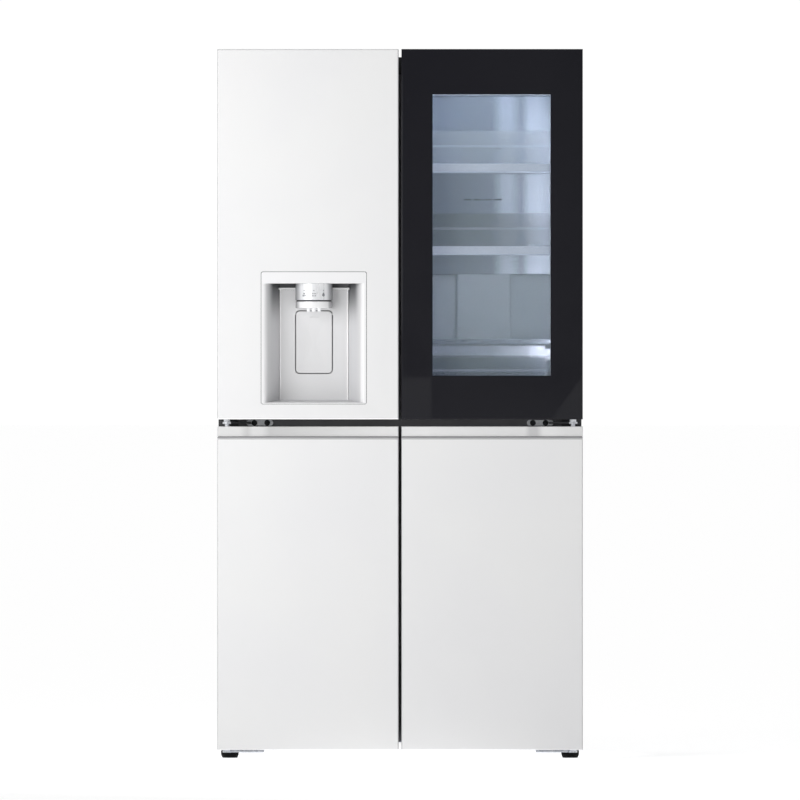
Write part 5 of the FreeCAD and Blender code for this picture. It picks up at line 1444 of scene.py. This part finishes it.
gasketSizes = {
    "ring": 8.0 * mm,
    "parts": [
        # width, height, shift across, shift along the depth: strip, bellows, fin and dart
        (15.4 * mm, 3.6 * mm, 0.0, 3.9 * mm),
        (10.0 * mm, 2.6 * mm, 1.4 * mm, 1.0 * mm),
        (13.2 * mm, 1.6 * mm, 0.6 * mm, -1.1 * mm),
        (6.0 * mm, 3.6 * mm, -1.5 * mm, -3.8 * mm),
    ],
}


def makeGaskets():
    tree = gasketTree()
    places = {
        "left_door_gasket": "left_door", "window_door_gasket": "window_door",
        "lower_left_gasket": "lower_left_door", "lower_right_gasket": "lower_right_door",
    }
    for node, body in places.items():
        low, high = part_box(node)
        size = high - low
        values = {
            "Width": size.x - 2 * gasketSizes["ring"], "Height": size.z - 2 * gasketSizes["ring"],
            "Corner": 9 * mm, "Material": finish["gasketRubber"],
        }
        source = pointMesh(node, [(low + high) / 2])
        bakePiece(node.replace("_gasket", "Seal"), tree, source, values, body, [node])


def makeScrews():
    points, facings = [], []
    for low, high in solidBoxes("hinge_screws"):
        size = high - low
        middle = (low + high) / 2
        if size.z < size.y - 1e-4:
            upward = middle.z > 1
            facing = (0, 0, 1) if upward else (0, 0, -1)
            points.append((middle.x, middle.y, high.z - 4 * mm if upward else low.z + 4 * mm))
        else:
            facing = (0, -1, 0)
            points.append((middle.x, low.y + 4 * mm, middle.z))
        facings.append(facing)
    values = {"Radius": 5.75 * mm, "Height": 4 * mm, "Material": finish["darkSteel"]}
    source = pointMesh("hingeScrews", points, facings)
    bakePiece("hingeScrews", screwTree(), source, values, "cabinet", ["hinge_screws"], 25)


coilSizes = {"condenserFins": 84, "evaporatorFins": 70}


def makeCoils():
    tree = finTree()
    low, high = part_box("condenser")
    middle = (low + high) / 2
    source = pointMesh("condenserCoil", [middle])
    values = {
        "Length": high.x - low.x - 14 * mm, "Depth": high.y - low.y, "Height": high.z - low.z - 4 * mm,
        "Fins": coilSizes["condenserFins"], "Rows": 4, "Columns": 3, "Row Pitch": 40 * mm,
        "Column Pitch": 36 * mm, "Overhang": 6 * mm, "Material": finish["finAluminium"],
    }
    bakePiece("condenserCoil", tree, source, values, "cabinet", ["condenser"])
    places = []
    for low, high in solidBoxes("evaporators"):
        places.append(((low.x + high.x) / 2, low.y + 15 * mm, (low.z + high.z) / 2))
    source = pointMesh("evaporatorCoils", places)
    values = {
        "Length": high.x - low.x - 18 * mm, "Depth": 30 * mm, "Height": high.z - low.z,
        "Fins": coilSizes["evaporatorFins"], "Rows": 6, "Columns": 1, "Row Pitch": 34 * mm,
        "Column Pitch": 0.0, "Overhang": 8 * mm, "Material": finish["finAluminium"],
    }
    bakePiece("evaporatorCoils", tree, source, values, "cabinet", ["evaporators"])


backSizes = {"ribs": 9, "louvreRows": 7, "banks": (-0.2, 0.0, 0.2)}


def makeBackBeads():
    tree = beadTree()
    low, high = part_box("rear_panel")
    points = []
    for at in range(backSizes["ribs"]):
        x = low.x + (high.x - low.x) * (at + 1) / (backSizes["ribs"] + 1)
        points.append((x, high.y, (low.z + high.z) / 2 + 6 * mm))
    values = {
        "Radius": 7 * mm, "Length": high.z - low.z - 150 * mm, "Height": 2.2 * mm, "Turn": 0.0,
        "Material": finish["galvanisedSheet"],
    }
    source = pointMesh("rearRibs", points)
    bakePiece("rearRibs", tree, source, values, "cabinet")
    low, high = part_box("machine_room_cover")
    points = []
    for bank in backSizes["banks"]:
        for row in range(backSizes["louvreRows"]):
            points.append((bank, high.y, low.z + 46.6 * mm + row * 22 * mm))
    values = {
        "Radius": 3.2 * mm, "Length": 136 * mm, "Height": 3.4 * mm, "Turn": math.radians(90),
        "Material": finish["galvanisedSheet"],
    }
    source = pointMesh("coverLouvres", points)
    bakePiece("coverLouvres", tree, source, values, "cabinet")


makeGaskets()
makeScrews()
makeCoils()
makeBackBeads()
print("seals, screws, coils and pressings made")


# Hinges and feet

hingeSizes = {
    "flange": 5.0 * mm, "flangeHalf": 7.5 * mm, "flangeLength": 67 * mm, "flangeRound": 7 * mm, "bevel": 0.8 * mm,
    "armRound": 11 * mm, "armLength": 60 * mm, "screws": (20 * mm, 52 * mm),
    # each ring of the arm: its height from the middle and how far in it stands
    "armRings": ((-2.5 * mm, 0.5 * mm), (-2.0 * mm, 0.0), (2.0 * mm, 0.0), (2.5 * mm, 0.5 * mm)),
}


def makeMiddleHinges():
    bm = bmesh.new()
    for low, high in solidBoxes("middle_hinges"):
        side = rightSide if low.x > 0 else leftSide
        inner, outer = sorted((abs(low.x), abs(high.x)))
        middle = (low.z + high.z) / 2
        r, half, length = hingeSizes["armRound"], hingeSizes["flangeHalf"], hingeSizes["flangeLength"]
        pinX = outer - r
        pinY = low.y + r
        flange = roundRect(inner, inner + length, middle - half, middle + half, hingeSizes["flangeRound"], 5)
        flange = [(side * x, z) for x, z in flange]
        start = high.y - hingeSizes["flange"]
        bevel = hingeSizes["bevel"]
        centre = side * (inner + length / 2)
        rings = []
        for y, inset in ((high.y, 0.0), (start + bevel, 0.0), (start, bevel)):
            across, up = 1 - inset / (30 * mm), 1 - inset / half
            rings.append([(centre + (x - centre) * across, y, middle + (z - middle) * up) for x, z in flange])
        addLoft(bm, rings, [1, 1])
        for reach in hingeSizes["screws"]:
            washer = [(3.3 * mm, start - 0.01 * mm), (3.3 * mm, start - 0.7 * mm), (7.0 * mm, start - 0.7 * mm),
                      (7.3 * mm, start - 0.4 * mm), (7.3 * mm, start - 0.01 * mm)]
            addLathe(bm, (side * (inner + length - reach), 0, middle), washer, 1, 28, 2)
        # the arm: a plate with a round end about the pin
        rootX, rootY = pinX - hingeSizes["armLength"], high.y - 1 * mm
        outline = [(side * rootX, rootY), (side * rootX, pinY)]
        for step in range(12):
            turn = math.radians(-90 + 15 * step)
            outline.append((side * (pinX + r * math.cos(turn)), pinY + r * math.sin(turn)))
        outline += [(side * (pinX + r), pinY + r), (side * (pinX + r), rootY)]
        rings = []
        cx, cy = side * (pinX - 24 * mm), (pinY + high.y) / 2
        for up, inset in hingeSizes["armRings"]:
            ring = []
            for x, y in outline:
                ring.append((x - math.copysign(inset, x - cx), y - math.copysign(inset, y - cy), middle + up))
            rings.append(ring)
        addLoft(bm, rings, [0, 0, 0])
    newPiece(
        "middleHinges", bm, "cabinet", ["hingeSteel", "platedSteel", "darkSteel"], ["middle_hinges"], 30,
    )


footSizes = {"thread": 1.25 * mm, "stem": 5.0 * mm}


def makeFeet():
    for label in ("left", "right"):
        low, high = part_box(f"leveling_foot_{label}")
        x, y = (low.x + high.x) / 2, (low.y + high.y) / 2
        r = (high.x - low.x) / 2
        profile = [(0.2 * mm, 0), (r - 3.4 * mm, 0), (r - 2.8 * mm, 0.7 * mm), (r - 0.3 * mm, 5 * mm), (r, 6.4 * mm),
                   (r, 17.4 * mm), (r - 0.6 * mm, 18.9 * mm), (r - 2 * mm, 19.5 * mm), (11 * mm, 19.5 * mm),
                   (10 * mm, 19.4 * mm), (footSizes["stem"], 19.4 * mm)]
        height = 20.4 * mm
        while height < high.z - footSizes["thread"]:
            profile.append((footSizes["stem"], height))
            profile.append((footSizes["stem"] - 0.7 * mm, height + footSizes["thread"] / 2))
            height += footSizes["thread"]
        profile += [(footSizes["stem"] - 0.5 * mm, high.z), (0.2 * mm, high.z)]
        bm = bmesh.new()
        addLathe(bm, (x, y, 0), profile, steps=48)
        # grip notches round the disc
        for step in range(24):
            turn = math.radians(15 * step)
            a, b = x + (r - 0.35 * mm) * math.cos(turn), y + (r - 0.35 * mm) * math.sin(turn)
            addBlock(bm, (a - 0.9 * mm, b - 0.9 * mm, 7.5 * mm), (a + 0.9 * mm, b + 0.9 * mm, 16.5 * mm), 0.3 * mm, 1)
        newPiece(
            f"levelingFoot_{label}", bm, f"foot_{label}", ["footPlastic"],
            [f"leveling_foot_{label}"], 40,
        )


makeMiddleHinges()
makeFeet()
print("hinges and feet made")


# Water valve and ice room

valveSizes = {
    "inletZ": 220 * mm, "bore": 8 * mm, "boreDepth": 24 * mm, "crest": 13.2 * mm, "root": 12.2 * mm, "pitch": 1.8 * mm,
    "threadLength": 16 * mm, "length": 52 * mm, "blockHalf": 18 * mm, "blockHigh": 24 * mm, "coil": 14 * mm,
}


def makeWaterValve():
    low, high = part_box("water_valve")
    x = (low.x + high.x) / 2
    inletZ, end = valveSizes["inletZ"], high.y
    bore, floor = valveSizes["bore"], end - valveSizes["boreDepth"]
    crest, root = valveSizes["crest"], valveSizes["root"]
    profile = [(0.2 * mm, floor), (bore, floor), (bore, end - 0.4 * mm), (8.6 * mm, end), (root, end),
               (13.1 * mm, end - 1 * mm)]
    y = end - 1.6 * mm
    while y > end - valveSizes["threadLength"]:
        profile += [(crest, y), (root, y - valveSizes["pitch"] / 2)]
        y -= valveSizes["pitch"]
    profile += [(crest, y), (crest, end - valveSizes["length"]), (0.2 * mm, end - valveSizes["length"])]
    bm = bmesh.new()
    addLathe(bm, (x, 0, inletZ), profile, 1, 40)
    collar = [(13 * mm, end - 20.4 * mm), (16.7 * mm, end - 20.4 * mm), (17.2 * mm, end - 19.9 * mm),
              (17.2 * mm, end - 18.4 * mm), (16.7 * mm, end - 18 * mm), (13 * mm, end - 18 * mm)]
    addLathe(bm, (x, 0, inletZ), collar, 1, 36)
    half, tall, coil = valveSizes["blockHalf"], valveSizes["blockHigh"], valveSizes["coil"]
    addBlock(bm, (x - half, low.y, inletZ - tall), (x + half, low.y + 34 * mm, inletZ + tall), 4 * mm, 3, index=1)
    magnet = [(0.2 * mm, low.z), (coil - 1 * mm, low.z), (coil, low.z + 1 * mm), (coil, inletZ - tall),
              (0.2 * mm, inletZ - tall)]
    addLathe(bm, (x, low.y + 16 * mm, 0), magnet, 2, 32)
    newPiece("inletValve", bm, "cabinet", ["whiteTrim", "coverPlastic"], ["water_valve"], 30)


iceRoomSizes = {"panelInset": 8 * mm, "latchHalf": 26 * mm}


def makeIceRoom():
    # insulated case whose front is a separate panel with a latch
    low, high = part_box("ice_case")
    bm = bmesh.new()
    addBlock(bm, low, (high.x, high.y - 4 * mm, high.z), 9 * mm, 4)
    inset, half = iceRoomSizes["panelInset"], iceRoomSizes["latchHalf"]
    start, end = (low.x + inset, high.y - inset, low.z + inset), (high.x - inset, high.y, high.z - inset)
    addBlock(bm, start, end, 3.5 * mm, 4)
    middle = (low.z + high.z) / 2
    start = (high.x - 34 * mm, high.y - 2 * mm, middle - half)
    addBlock(bm, start, (high.x - 16 * mm, high.y + 2.5 * mm, middle + half), 2 * mm, 3, index=1)
    newPiece("iceRoom", bm, "left_door", ["whiteTrim", "greyTrim"], ["ice_case"])


makeWaterValve()
makeIceRoom()
print("valve and ice room made")


# Floor, light and camera

floorSizes = {
    "half": 400.0, "glowX": 0.62, "glowY": 0.52, "glowStart": 0.6, "glowEnd": 1.1, "glowNear": 0.85, "glowFar": 0.37,
}


def makeStage():
    mesh = bpy.data.meshes.new("floor")
    half = floorSizes["half"]
    mesh.from_pydata([(-half, -half, 0), (half, -half, 0), (half, half, 0), (-half, half, 0)], [], [(0, 1, 2, 3)])
    floor = bpy.data.objects.new("floor", mesh)
    scene.collection.objects.link(floor)
    paint = newMaterial(
        "floorPaint", (0.97, 0.97, 0.97, 1.0), 0.95, Specular_IOR_Level=0.0, Emission_Color=(1, 1, 1, 1),
    )
    # the floor glows a little, and more under the cabinet: painted light that cancels the cabinet's shadow there so
    # that it stays white
    tree = paint.node_tree
    place = tree.nodes.new("ShaderNodeTexCoord")
    shape = tree.nodes.new("ShaderNodeMapping")
    shape.inputs["Scale"].default_value = (1 / floorSizes["glowX"], 1 / floorSizes["glowY"], 1)
    away = tree.nodes.new("ShaderNodeVectorMath")
    away.operation = "LENGTH"
    tree.links.new(place.outputs["Object"], shape.inputs["Vector"])
    tree.links.new(shape.outputs["Vector"], away.inputs[0])
    glow = addSpread(
        tree, away.outputs["Value"], floorSizes["glowStart"], floorSizes["glowEnd"], floorSizes["glowNear"],
        floorSizes["glowFar"], smooth=True,
    )
    tree.links.new(glow, tree.nodes["Principled BSDF"].inputs["Emission Strength"])
    mesh.materials.append(paint)


def addArea(name, place, aim, size, power, colour=(1, 1, 1), sizeY=None):
    lamp = bpy.data.lights.new(name, "AREA")
    lamp.shape = "RECTANGLE"
    lamp.size = size
    lamp.size_y = sizeY or size
    lamp.energy = power
    lamp.color = colour
    made = bpy.data.objects.new(name, lamp)
    scene.collection.objects.link(made)
    made.location = place
    made.rotation_euler = (Vector(aim) - Vector(place)).to_track_quat("-Z", "Y").to_euler()
    return made


lightSizes = {
    "behind": 1.02, "before": 0.3, "turnsDim": (-0.6, 0.7), "key": 29.0, "inside": 1.05, "strip": 1.3,
    "insideColour": (0.84, 0.89, 1.0),
    # floor and ceiling of the upper and the lower rooms
    "rooms": ((0.88, 1.70), (0.32, 0.79)),
}


def makeLights():
    world = bpy.data.worlds.new("studio")
    scene.world = world
    world.use_nodes = True
    # a white room that is dimmer in front of the object than behind it
    tree = world.node_tree
    depth = addAxes(tree, "Generated")["Y"]
    strength = addSpread(tree, depth, *lightSizes["turnsDim"], lightSizes["before"], lightSizes["behind"])
    tree.links.new(strength, tree.nodes["Background"].inputs["Strength"])
    tree.nodes["Background"].inputs["Color"].default_value = (1, 1, 1, 1)
    addArea("key", (-1.5, -2.1, 1.45), (0, -0.3, 1.0), 1.5, lightSizes["key"])
    for side in (leftSide, rightSide):
        for floorZ, ceilingZ in lightSizes["rooms"]:
            middle = (ceilingZ + floorZ) / 2
            addArea(
                "ceilingLight", (side * 0.214, -0.2, ceilingZ - 0.015), (side * 0.214, -0.12, middle), 0.26,
                lightSizes["inside"], lightSizes["insideColour"], 0.03,
            ).visible_glossy = False
        addArea(
            "stripLight", (side * 0.398, -0.2, 1.3), (side * 0.2, 0.05, 1.3), 0.66, lightSizes["strip"],
            lightSizes["insideColour"], 0.02,
        ).rotation_euler.rotate_axis("Z", math.radians(90))
    scene.view_settings.view_transform = "Standard"


cameraSizes = {"distance": 30.0, "height": 0.8975, "lens": 540.0, "sensor": 36.0}


def makeCamera():
    camera = bpy.data.cameras.new("view")
    camera.lens = cameraSizes["lens"]
    camera.sensor_width = cameraSizes["sensor"]
    made = bpy.data.objects.new("view", camera)
    scene.collection.objects.link(made)
    made.location = (0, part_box("window_glass")[0].y - cameraSizes["distance"], cameraSizes["height"])
    made.rotation_euler = (math.radians(90), 0, 0)
    scene.camera = made


makeStage()
makeLights()
makeCamera()
print("stage, light and camera made")
